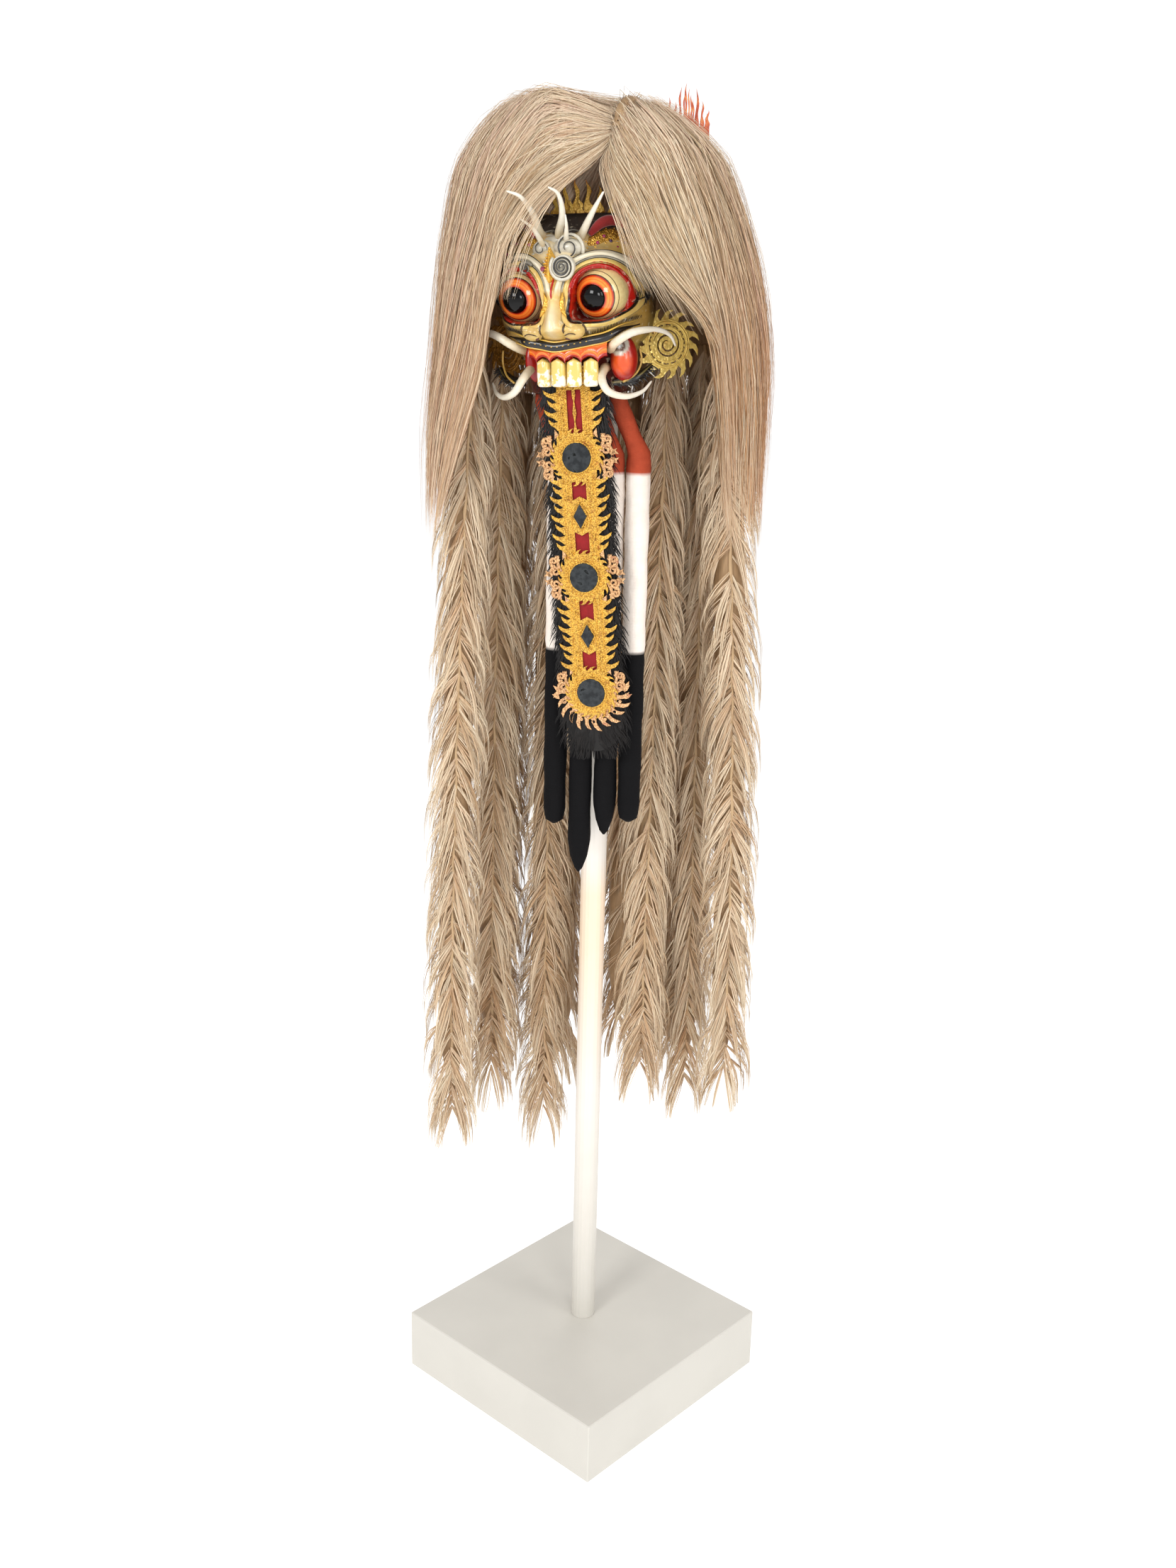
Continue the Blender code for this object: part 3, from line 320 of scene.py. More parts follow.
class FaceSettings(bpy.types.PropertyGroup):
    ground: colour_property("Ground", "#d9b362", "Yellow ochre lacquer")
    # White of the brow bands and the scuffs, also used as painted highlight on the raised forms.
    highlight: colour_property("Highlight", "#e6dcc0", "White scuffs and ridges")
    # Painted shade: this edge colour darkens the face towards its sides and beside the nose bridge.
    shadow: colour_property("Edge", "#a07c34", "Darker wash at the edges")
    red: colour_property("Red", "#b3160f", "Lid rims and cheek pockets")
    orange: colour_property("Orange", "#e0571b", "Gum and iris")
    black: colour_property("Black", "#15110e", "Moustache, pupils and lines")
    tooth: colour_property("Teeth", "#dfc069", "Yellow enamel paint")
    tusk: colour_property("Tusk", "#dfd6c2", "Boar tusk")


class GiltSettings(bpy.types.PropertyGroup):
    gold: colour_property("Gold", "#f2bd4e", "Gold leaf on leather")
    rosy_gold: colour_property("Rosy gold", "#eab883", "Worn leaf over red size")
    cloth_red: colour_property("Red cloth", "#8c1216", "Cloth behind the tongue")
    rust: colour_property("Rust cloth", "#a8452c", "Upper part of the cloth tubes")
    cream: colour_property("Cream cloth", "#efe3d8", "Middle part of the cloth tubes")
    pearl: FloatProperty(
        name="Pearl", description="Radius of an embossed pearl", default=0.0013, unit="LENGTH"
    )


class StandSettings(bpy.types.PropertyGroup):
    paint: colour_property("Paint", "#d6d2c9", "Emulsion on the plinth and pole")
    floor: colour_property("Floor", "#d6d6d6", "Studio floor, lit from below")
    light_power: FloatProperty(name="Lights", description="Power of the main soft light",
        default=44.0)
    air: FloatProperty(name="Surround", description="Strength of the white surround", default=0.64)


def give(node, inputs):
    """Sets or links a shader node's inputs; a node stands for its first output."""
    for name, value in inputs.items():
        if isinstance(value, bpy.types.Node):
            value = value.outputs[0]
        if isinstance(value, bpy.types.NodeSocket):
            node.id_data.links.new(value, node.inputs[name])
        else:
            node.inputs[name].default_value = value
    return node


def added(tree, kind, inputs=None, **settings):
    made = tree.nodes.new("ShaderNode" + kind)
    for name, value in settings.items():
        setattr(made, name, value)
    return give(made, inputs or {})


def ramp(tree, factor, stops):
    """Colours along a factor, from (place, colour) stops."""
    made = added(tree, "ValToRGB", {"Fac": factor})
    bands = made.color_ramp.elements
    while len(bands) < len(stops):
        bands.new(1.0)
    for band, (place, colour) in zip(bands, stops):
        band.position = place
        band.color = colour
    return made


def mixed(tree, share, first, second, blend="MIX"):
    made = added(tree, "MixRGB", blend_type=blend)
    return give(made, {"Fac": share, "Color1": first, "Color2": second})


def spread_out(tree, value, low, high, to_low=0.0, to_high=1.0):
    made = added(tree, "MapRange")
    return give(made, {"Value": value, "From Min": low, "From Max": high,
                       "To Min": to_low, "To Max": to_high})


def finish(name):
    """A new material with its node tree and its shader."""
    made = bpy.data.materials.new(name)
    made.use_nodes = True
    tree = made.node_tree
    return made, tree, tree.nodes["Principled BSDF"]


def grain(tree, spacing, detail=3.0, stretch=(1.0, 1.0, 1.0)):
    """Noise with features about this many metres apart, in the object's own coordinates."""
    place = added(tree, "TexCoord").outputs["Object"]
    scaled = added(tree, "Mapping", {"Vector": place, "Scale": stretch})
    return added(tree, "TexNoise", {"Vector": scaled, "Scale": 1.0 / spacing, "Detail": detail})


def bump(tree, height, distance, strength=1.0):
    return added(tree, "Bump", {"Height": height, "Distance": distance, "Strength": strength})


class Shape:
    """Collects points, faces and values for one mesh."""

    def __init__(self):
        self.points = []
        self.faces = []
        self.values = {}
        self.count = 0

    def add(self, points, faces, **values):
        points = np.asarray(points, float).reshape(-1, 3)
        self.points.append(points)
        self.faces.extend([[index + self.count for index in face] for face in faces])
        self.count += len(points)
        for name, value in values.items():
            value = np.asarray(value, float)
            wide = np.broadcast_to(value, (len(points), *value.shape[-1:])) if (
                value.ndim and value.shape[-1] == 3
            ) else np.broadcast_to(value, (len(points),))
            self.values.setdefault(name, []).append(wide)

    def piece(self, name, smooth=True):
        mesh = bpy.data.meshes.new(name)
        mesh.from_pydata(np.concatenate(self.points).tolist(), [], self.faces)
        for label, parts in self.values.items():
            data = np.concatenate(parts)
            if data.ndim == 2:
                layer = mesh.attributes.new(label, "FLOAT_COLOR", "POINT")
                data = np.concatenate([data, np.ones((len(data), 1))], axis=1)
                layer.data.foreach_set("color", data.ravel())
            else:
                layer = mesh.attributes.new(label, "FLOAT", "POINT")
                layer.data.foreach_set("value", data)
        mesh.validate()
        if smooth:
            mesh.shade_smooth()
        made = bpy.data.objects.new(name, mesh)
        bpy.context.scene.collection.objects.link(made)
        return made


def hand_over(piece, material, slot, *nodes):
    """Gives a finished piece its material, its body and the CAD nodes it stands for."""
    piece.data.materials.clear()
    piece.data.materials.append(material)
    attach(piece, "root")
    if nodes:
        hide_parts(*nodes)
    return piece


def settle(piece):
    """Puts a piece's place into its mesh."""
    bpy.context.view_layer.update()
    piece.data.transform(piece.matrix_world)
    piece.matrix_world = Matrix.Identity(4)
    return piece


def added_primitive(kind, matrix, **sizes):
    """A primitive mesh, alone in the selection, placed by a matrix that settle applies."""
    bpy.ops.object.select_all(action="DESELECT")
    getattr(bpy.ops.mesh, "primitive_" + kind + "_add")(**sizes)
    made = bpy.context.active_object
    made.matrix_world = matrix
    return made


def ball(kind, matrix, name="", **sizes):
    """A sphere primitive, in place and named; a uv sphere is smooth."""
    made = settle(added_primitive(kind, matrix, **sizes))
    if kind == "uv_sphere":
        made.data.shade_smooth()
    made.name = name or made.name
    return made


def in_mask(u, v, w):
    return SEAT @ Matrix.Translation((u, -w, v))


def applied(piece, kind, **settings):
    """Adds a modifier, sets it and applies it."""
    bpy.ops.object.select_all(action="DESELECT")
    bpy.context.view_layer.objects.active = piece
    piece.select_set(True)
    modifier = piece.modifiers.new(kind.lower(), kind)
    for name, value in settings.items():
        setattr(modifier, name, value)
    bpy.ops.object.modifier_apply(modifier=modifier.name)
    return piece


def joined(name, pieces):
    bpy.ops.object.select_all(action="DESELECT")
    for piece in pieces:
        piece.select_set(True)
    bpy.context.view_layer.objects.active = pieces[0]
    if len(pieces) > 1:
        bpy.ops.object.join()
    made = bpy.context.active_object
    made.name = name
    made.data.name = name
    return made


def plate(name, outline, thickness, holes=(), matrix=None, round_edge=0.0003):
    """A flat plate cut from an outline in its own XY plane, made a mesh and put in place."""
    curve = bpy.data.curves.new(name, "CURVE")
    curve.dimensions = "2D"
    curve.fill_mode = "BOTH"
    curve.extrude = thickness / 2 - round_edge
    curve.bevel_depth = round_edge
    curve.bevel_resolution = 1
    curve.offset = -round_edge
    for points in (outline, *holes):
        spline = curve.splines.new("POLY")
        spline.points.add(len(points) - 1)
        for spot, (x, y) in zip(spline.points, points):
            spot.co = (x, y, 0.0, 1.0)
        spline.use_cyclic_u = True
    made = bpy.data.objects.new(name, curve)
    bpy.context.scene.collection.objects.link(made)
    bpy.ops.object.select_all(action="DESELECT")
    made.select_set(True)
    bpy.context.view_layer.objects.active = made
    bpy.ops.object.convert(target="MESH")
    made = bpy.context.active_object
    made.matrix_world = matrix or Matrix.Identity(4)
    return settle(made)


def smooth_line(points, count):
    """Points on a smooth curve through the given ones, evenly spread along it."""
    knots = np.array(points, float)
    ends = np.vstack([2 * knots[0] - knots[1], knots, 2 * knots[-1] - knots[-2]])
    fine = []
    for index in range(len(knots) - 1):
        first, a, b, last = ends[index:index + 4]
        for t in np.linspace(0, 1, 12, endpoint=False):
            fine.append(0.5 * (2 * a + (b - first) * t + (2 * first - 5 * a + 4 * b - last) * t**2
                               + (3 * a - first - 3 * b + last) * t**3))
    fine = np.array([*fine, knots[-1]])
    run = np.concatenate([[0], np.cumsum(np.linalg.norm(np.diff(fine, axis=0), axis=1))])
    even = np.linspace(0, run[-1], count)
    return np.stack([np.interp(even, run, fine[:, axis]) for axis in range(fine.shape[1])], axis=1)


def grid_faces(rows, columns, closed=False):
    """Four-sided faces over rows of points, closed round if asked."""
    made = []
    for row in range(rows - 1):
        for column in range(columns if closed else columns - 1):
            a, b = row * columns + column, row * columns + (column + 1) % columns
            made.append((a, b, b + columns, a + columns))
    return made


def turned_over(faces):
    return [(a, d, c, b) for a, b, c, d in faces]


def unit(vectors):
    length = np.linalg.norm(vectors, axis=-1, keepdims=True)
    return vectors / np.maximum(length, 1e-9)


def moved(frame_matrix, points):
    matrix = np.array(frame_matrix)
    return points @ matrix[:3, :3].T + matrix[:3, 3]


def in_world(points):
    """Mask frame points (u, v, w) as world points."""
    points = np.asarray(points, float)
    return moved(SEAT, np.stack([points[..., 0], -points[..., 2], points[..., 1]], axis=-1))


def sweep(shape, path, across, high, up, sides=10, **values):
    """A closed bar along a path, with a half-width and a half-height at each point."""
    path = np.asarray(path, float)
    count = len(path)
    across = np.broadcast_to(across, (count,))[:, None]
    high = np.broadcast_to(high, (count,))[:, None]
    tangent = unit(np.gradient(path, axis=0))
    side = unit(np.cross(tangent, np.broadcast_to(up, (count, 3))))
    over = np.cross(side, tangent)
    points = []
    for step in range(sides):
        angle = 2 * math.pi * step / sides
        points.append(path + side * across * math.cos(angle) + over * high * math.sin(angle))
    points = np.stack(points, axis=1).reshape(-1, 3)
    faces = []
    for ring in range(count - 1):
        for step in range(sides):
            after = (step + 1) % sides
            low, top = ring * sides, (ring + 1) * sides
            faces.append((low + step, top + step, top + after, low + after))
    faces.append(tuple(range(sides)))
    faces.append(tuple(range(count * sides - 1, (count - 1) * sides - 1, -1)))
    given = {name: np.repeat(np.broadcast_to(value, (count,)), sides)
             if np.ndim(value) == 1 and len(value) == count and count != 3 else value
             for name, value in values.items()}
    shape.add(points, faces, **given)


def ribbons(shape, paths, across, widths, **values):
    """Thin strips, one to a path: paths are (strip, point, 3) and widths (strip, point)."""
    strips, count = paths.shape[:2]
    half = across * widths[..., None] / 2
    points = np.stack([paths - half, paths + half], axis=2).reshape(-1, 3)
    start = (np.arange(strips) * count * 2)[:, None] + (np.arange(count - 1) * 2)[None, :]
    start = start.reshape(-1)
    faces = np.stack([start, start + 1, start + 3, start + 2], axis=1).tolist()
    spread = {name: np.repeat(value, 2, axis=1).reshape(-1, *value.shape[2:])
              for name, value in values.items()}
    shape.add(points, faces, **spread)


def circle(centre, radius, count, start=0.0):
    steps = [start + 2 * math.pi * step / count for step in range(count)]
    return [(centre[0] + radius * math.cos(a), centre[1] + radius * math.sin(a)) for a in steps]


# A curling flame from its foot: share of its pitch along the edge, share of its height
FLAME = ((0.0, 0.0), (0.08, 0.2), (0.14, 0.42), (-0.02, 0.7), (-0.28, 1.0), (0.12, 0.92),
         (0.46, 0.68), (0.58, 0.42), (0.9, 0.14))


def flame_ring(centre, inner, outer, count, start=0.0, sweep_angle=2 * math.pi, uneven=0.12):
    """Outline of a round edge of curling flames."""
    points = []
    for flame in range(count):
        tall = (outer - inner) * (1 - uneven * (flame % 2))
        for along, out in FLAME:
            angle = start + sweep_angle * (flame + along) / count
            radius = inner + tall * out
            points.append(
                (centre[0] + radius * math.cos(angle), centre[1] + radius * math.sin(angle))
            )
    return points


def face_edge(v):
    return FACE_HALF_WIDTH * np.interp(v, FACE_HEIGHTS, FACE_WIDTHS)


def lid_distance(u, v, side):
    """Distance from the eye's middle, drawn in towards the pointed inner corner."""
    centre = EYE_CENTRES[side]
    sign = 1 if side == "right" else -1
    out = (u - centre[0]) * sign
    up = v - centre[1]
    away = np.hypot(out, up)
    corner = np.maximum(0.0, (-out * 0.75 - up * 0.66) / np.maximum(away, 1e-6)) ** 10
    outer = np.maximum(0.0, (out * 0.97 - up * 0.24) / np.maximum(away, 1e-6)) ** 8
    return away * (1 - 0.25 * corner - 0.12 * outer)


def above_lid(v, side):
    return np.clip((v - EYE_CENTRES[side][1] + 0.006) / 0.012, 0.0, 1.0)


def bell(value, middle, spread):
    return np.exp(-(((value - middle) / spread) ** 2))


def face_depth(u, v):
    """How far forward the carving stands at (u, v)."""
    edge = face_edge(v)
    share = np.minimum(1.0, np.abs(u) / edge)
    fade = 1 - share**4
    depth = FACE_DEPTH * np.interp(v, FACE_HEIGHTS, FACE_DEPTHS) * np.sqrt(1 - share**2.4)
    bridge = np.interp(v, (-0.036, -0.03, -0.02, -0.008, 0.02, 0.045, 0.06),
                       (0.0, 0.014, 0.033, 0.03, 0.016, 0.009, 0.0))
    wide = np.interp(v, (-0.03, -0.015, 0.01, 0.05), (0.017, 0.016, 0.01, 0.012))
    depth = depth + bridge * bell(u, -0.003, wide)
    forms = (
        (0.024, -0.019, 0.013, 0.01, 0.022), (-0.034, -0.021, 0.013, 0.01, 0.022),
        (0.023, -0.0285, 0.0065, 0.004, -0.012), (-0.032, -0.029, 0.0065, 0.004, -0.012),
        (0.012, 0.062, 0.013, 0.013, 0.014), (-0.018, 0.088, 0.01, 0.007, 0.008),
        (0.018, 0.086, 0.016, 0.008, 0.01), (-0.004, 0.072, 0.03, 0.012, 0.01),
    )
    for centre_u, centre_v, spread_u, spread_v, height in forms:
        depth = depth + height * bell(u, centre_u, spread_u) * bell(v, centre_v, spread_v) * fade
    ridge = np.interp(np.abs(u), (0.037, 0.074, 0.107), (-0.018, -0.006, -0.009))
    roll = bell(v, ridge, 0.0085) * np.clip((np.abs(u) - 0.034) / 0.012, 0, 1)
    depth = depth + 0.015 * roll * fade
    for side in ("right", "left"):
        away = lid_distance(u, v, side)
        upper = above_lid(v, side)
        dome = (0.016 + 0.25 * np.maximum(0.0, np.abs(u) - 0.05)) * np.exp(-((away / 0.046) ** 4))
        rim = 0.005 * bell(away, LID_RADIUS, 0.0022)
        fold = 0.0048 * bell(away, 0.04, 0.0026)
        brow = 0.0085 * bell(away, BROW_RADIUS, 0.0034)
        lower = 0.004 * bell(away, 0.0365, 0.003)
        depth = depth + (dome * (0.45 + 0.55 * upper) + upper * (rim + fold + brow)
                         + (1 - upper) * lower) * fade
        socket = np.clip((LID_RADIUS - 0.001 - away) / 0.003, 0.0, 1.0)
        depth = depth * (1 - socket) + np.minimum(depth, 0.072) * socket
    mouth = (v < lip_height(u) - 0.004) & (np.abs(u - 0.004) < 0.068)
    depth = np.where(mouth, np.minimum(depth, MOUTH_FLOOR), depth)
    return np.maximum(depth, 0.0)


def lip_height(u):
    points = np.array(LIP_POINTS)
    return np.interp(u, points[:, 0], points[:, 1])


def lip_line(offset, lift, count=70):
    """World points of the moustache's middle, in front of the gum and the carved lip."""
    line = smooth_line([(u, v + offset) for u, v in LIP_POINTS], count)
    carved = face_depth(line[:, 0], line[:, 1] + 0.0085 - offset)
    gum = np.where(np.abs(line[:, 0] - GUM_MIDDLE) < 0.058, gum_depth(line[:, 0]) + 0.003, 0.0)
    depth = np.maximum(np.minimum(carved, 0.112), gum)
    depth = np.convolve(np.pad(depth, 4, mode="edge"), np.ones(9) / 9, mode="valid")
    return in_world(np.column_stack([line, depth + lift]))


def on_face(points, lift=0.0):
    """World points on the carved face over (u, v) points."""
    points = np.asarray(points, float)
    depth = face_depth(points[:, 0], points[:, 1]) + lift
    return in_world(np.column_stack([points, depth]))


FORWARD = np.array(SEAT.to_3x3() @ Vector((0.0, -1.0, 0.0)))


def bead(shape, points, across, high, lift=0.0, count=40, sides=8, **values):
    """A raised line that follows the face along (u, v) points."""
    line = smooth_line(points, count)
    taper = np.clip(np.minimum(np.arange(count), np.arange(count)[::-1]) / (count * 0.12), 0.12, 1)
    sweep(shape, on_face(line, lift), across * taper, high * taper, FORWARD, sides, **values)


def face_paint(u, v, face):
    """Ground colours of the carving: light on what stands proud, dark at the edges."""
    ground, light, dark = (np.array(c) for c in (face.ground, face.highlight, face.shadow))
    black = np.array(face.black)
    # Painted shade: the ground darkens towards the face's edges.
    edge = np.clip(np.abs(u) / face_edge(v), 0, 1)[..., None]
    paint = ground * (1 - edge**5) + dark * edge**5
    # Painted highlight: the nose, cheek ridges and forehead are lightened towards the highlight
    # colour.
    nose = (bell(u, -0.003, 0.008) * bell(v, -0.008, 0.022))[..., None]
    ridge = np.interp(np.abs(u), (0.037, 0.074, 0.107), (-0.016, -0.004, -0.007))
    cheeks = (bell(v, ridge, 0.006) * bell(np.abs(u), 0.055, 0.022))[..., None]
    forehead = (bell(u, 0.002, 0.036) * bell(v, 0.08, 0.016))[..., None]
    pale = np.clip(0.75 * nose + 0.6 * cheeks + 0.9 * forehead, 0, 1)
    paint = paint * (1 - pale) + light * pale
    dome = np.clip((v - 0.096 - 0.0015 * np.cos(u * 300)) / 0.004, 0, 1)[..., None]
    paint = paint * (1 - dome) + np.array(linear("#3b3430")) * dome
    crease = (bell(v, lip_height(u) + 0.01, 0.0035)
              * (np.abs(u) > 0.018) * (np.abs(u) < 0.092))[..., None]
    paint = paint * (1 - 0.75 * crease) + black * 0.75 * crease
    # Painted shade: dark red where the nostril holes are, standing for the shade inside them.
    nostril = np.clip(1.5 * bell(u, 0.023, 0.008) * bell(v, -0.029, 0.003)
                      + 1.5 * bell(u, -0.032, 0.008) * bell(v, -0.0295, 0.003), 0, 1)[..., None]
    paint = paint * (1 - nostril) + np.array(linear("#3a130c")) * nostril
    temple = (bell(u, 0.094, 0.01) * bell(v, 0.02, 0.007))[..., None]
    paint = paint * (1 - temple) + black * temple
    # Painted shade along both sides of the nose bridge.
    inner = (bell(np.abs(u + 0.003), 0.0145, 0.003) * bell(v, 0.012, 0.02))[..., None]
    paint = paint * (1 - 0.7 * inner) + dark * 0.4 * 0.7 * inner
    mouth = (v < lip_height(u) - 0.004)[..., None] & (np.abs(u - 0.004) < 0.068)[..., None]
    return np.where(mouth, np.array(linear("#4a0d08")), paint)


def lacquer_material(face):
    """Pule wood under gesso and many coats of hand-rubbed lacquer: soft gloss, fine crazing,
    brush lines, and white scuffs where the high places have worn."""
    material, tree, shader = finish("hand-rubbed lacquer on carved wood")
    paint = added(tree, "Attribute", attribute_name="paint")
    lid = added(tree, "Attribute", attribute_name="lid").outputs["Fac"]
    upper = added(tree, "Attribute", attribute_name="upper").outputs["Fac"]
    tone = spread_out(tree, lid, 0.03, 0.06)
    red, black = rgba(face.red), rgba(face.black)
    ochre, white = (rgba("#dfbd6c"), rgba(face.highlight))
    grey, clear = (rgba("#5d5950"), (*face.ground, 0.0))
    upper_bands = ramp(tree, tone, [(0.0, red), (0.185, red), (0.2, black), (0.225, ochre),
        (0.42, ochre), (0.44, grey), (0.47, white), (0.5, grey), (0.525, white), (0.735, white),
        (0.75, grey), (0.775, clear), (1.0, clear)])
    # Below the eye: the red socket floor, a black painted shadow under the eyeball, the ochre lower
    # lid and a grey line.
    lower_bands_and_shadow = ramp(tree, tone, [(0.0, red), (0.1, red), (0.13, black), (0.2, black),
        (0.23, ochre), (0.34, ochre), (0.36, grey), (0.38, clear), (1.0, clear)])
    bands = mixed(tree, upper, lower_bands_and_shadow, upper_bands)
    cover = added(tree, "Mix", {
        0: upper, 2: lower_bands_and_shadow.outputs["Alpha"], 3: upper_bands.outputs["Alpha"]
    })
    ground = mixed(tree, cover.outputs[0], paint, bands)
    # Painted shade in the carving's hollows multiplies the ground colour.
    relief = added(tree, "Attribute", attribute_name="relief").outputs["Fac"]
    shaded = mixed(tree, 1.0, ground, relief, "MULTIPLY")
    brushed = grain(tree, 0.012, 6.0)
    wash = mixed(tree, 0.35, shaded, brushed.outputs["Fac"], "OVERLAY")
    worn = ramp(tree, grain(tree, 0.008, 8.0), [(0.6, (0, 0, 0, 1)), (0.68, (1, 1, 1, 1))])
    worn_share = added(tree, "Math", {0: worn, 1: 0.45}, operation="MULTIPLY")
    scuffed = mixed(tree, worn_share, wash, rgba(face.highlight))
    give(shader, {"Base Color": scuffed, "Normal": bump(tree, grain(tree, 0.0022, 5.0), 0.0004,
        0.35), "Roughness": 0.3, "Coat Weight": 0.35, "Coat Roughness": 0.15})
    return material


def painted_lines(name, roughness=0.3):
    """Lacquer whose colour each raised line carries itself."""
    material, tree, shader = finish(name)
    paint = added(tree, "Attribute", attribute_name="paint")
    uneven = mixed(tree, 0.35, paint, grain(tree, 0.006, 5.0), "OVERLAY")
    give(shader, {"Base Color": uneven, "Normal": bump(tree, grain(tree, 0.0015, 3.0), 0.0003, 0.3),
        "Roughness": roughness, "Coat Weight": 0.3})
    return material


def gold_material(name, colour, worn, pearls=0.0016, roughness=0.3, grainy=0.35):
    """Gold leaf over leather embossed from behind: bright, grainy and rubbed to red size."""
    material, tree, shader = finish(name)
    place = added(tree, "TexCoord").outputs["Object"]
    cells = added(tree, "TexVoronoi", {"Vector": place, "Scale": 1.0 / pearls})
    rubbed = ramp(tree, grain(tree, 0.009, 6.0),
        [(0.4, rgba(colour)), (0.6, rgba([c * 0.86 for c in colour])), (0.74, rgba(worn))])
    # Painted shade: dark brown in the hollows between the embossed pearls.
    low = spread_out(tree, cells, 0.3, 0.8, 0.0, grainy)
    shaded_tone = mixed(tree, low, rubbed, rgba("#6a2c10"))
    give(shader, {"Base Color": shaded_tone})
    rounded = added(tree, "Math", {0: 1.0, 1: cells}, operation="SUBTRACT")
    give(shader, {"Normal": bump(tree, rounded, pearls * 0.8, 0.3 + grainy), "Metallic": 0.45,
        "Roughness": roughness})
    return material


def hair_material(name):
    """Dyed and bleached horse hair and sisal: a dull sheen along dry fibres, with streaks."""
    material, tree, shader = finish(name)
    dye = added(tree, "Attribute", attribute_name="dye")
    streaks = grain(tree, 0.0022, 3.0, (1.0, 1.0, 0.08))
    streaked = mixed(tree, 0.4, dye, streaks, "OVERLAY")
    give(shader, {"Base Color": streaked, "Roughness": 0.5, "Specular IOR Level": 0.3})
    return material


def make_stand(scene):
    """Emulsion rolled on board and tube: dead matt, faintly stippled, with grey chips."""
    stand = scene.mask_stand
    material, tree, shader = finish("white emulsion on board")
    cloudy = ramp(tree, grain(tree, 0.12, 4.0),
        [(0.35, rgba([c * 0.955 for c in stand.paint])), (0.65, rgba(stand.paint))])
    chips = ramp(tree, grain(tree, 0.011, 3.0), [(0.74, (0, 0, 0, 1)), (0.78, (0.5, 0.5, 0.5, 1))])
    chipped = mixed(tree, chips, cloudy, rgba("#cfc9bd"))
    give(shader, {"Base Color": chipped, "Normal": bump(tree, grain(tree, 0.0016, 2.0), 0.0002,
        0.4), "Roughness": 0.62})
    pole, pole_tree, pole_shader = finish("white emulsion on steel tube")
    place = added(pole_tree, "TexCoord").outputs["Object"]
    height = added(pole_tree, "SeparateXYZ", {"Vector": place}).outputs["Z"]
    share = spread_out(pole_tree, height, 0.1, 1.1)
    # Painted light: the pole warms in a band where the hair ropes hang round it, for light bounced
    # off the hair.
    painted_warm_bounce = rgba("#f3dcc2")
    tint = ramp(pole_tree, share, [(0.0, rgba(stand.paint)), (0.42, rgba("#ebe4da")), (0.66, painted_warm_bounce),
        (0.74, painted_warm_bounce), (0.8, rgba("#eae3da")), (1.0, rgba(stand.paint))])
    stipple = mixed(pole_tree, 0.08, tint, grain(pole_tree, 0.03, 4.0), "OVERLAY")
    give(pole_shader, {"Base Color": stipple, "Roughness": 0.5})
    for node, made in (("plinth", material), ("pole", pole)):
        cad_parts[node].data.materials.clear()
        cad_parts[node].data.materials.append(made)


def make_face(scene):
    face = scene.mask_face
    rows, columns = 190, 170
    shape = Shape()
    v = np.linspace(FACE_BOTTOM, FACE_TOP, rows)[:, None]
    across = np.linspace(-1, 1, columns)[None, :]
    across = np.sign(across) * np.abs(across) ** 0.92
    u = face_edge(v) * across
    v = np.broadcast_to(v, u.shape)
    w = np.maximum(face_depth(u, v), 0.0015)
    w[:, 0] = w[:, -1] = 0.0005
    front = in_world(np.stack([u, v, w], axis=-1)).reshape(-1, 3)
    faces = grid_faces(rows, columns)
    right, left = lid_distance(u, v, "right"), lid_distance(u, v, "left")
    lid = np.minimum(right, left).reshape(-1)
    upper = np.where(u > 0, above_lid(v, "right"), above_lid(v, "left")).reshape(-1)
    paint = face_paint(u, v, face).reshape(-1, 3)
    # Painted shade: the paint darkens where the carving lies below its blurred surroundings, in
    # hollows and creases.
    level = w
    for axis in (0, 1, 0, 1):
        level = np.apply_along_axis(
            lambda line: np.convolve(np.pad(line, 6, mode="edge"), np.ones(13) / 13, mode="valid"),
            axis, level)
    relief = np.clip(1.0 + (w - level) / 0.0035, 0.3, 1.0).reshape(-1)
    shape.add(front, faces, paint=paint, lid=lid, upper=upper, relief=relief)
    made = shape.piece("carved_face")
    made = applied(made, "SOLIDIFY", thickness=0.006, offset=-1.0)
    hand_over(made, lacquer_material(face), "painted_wood", "mask_face")


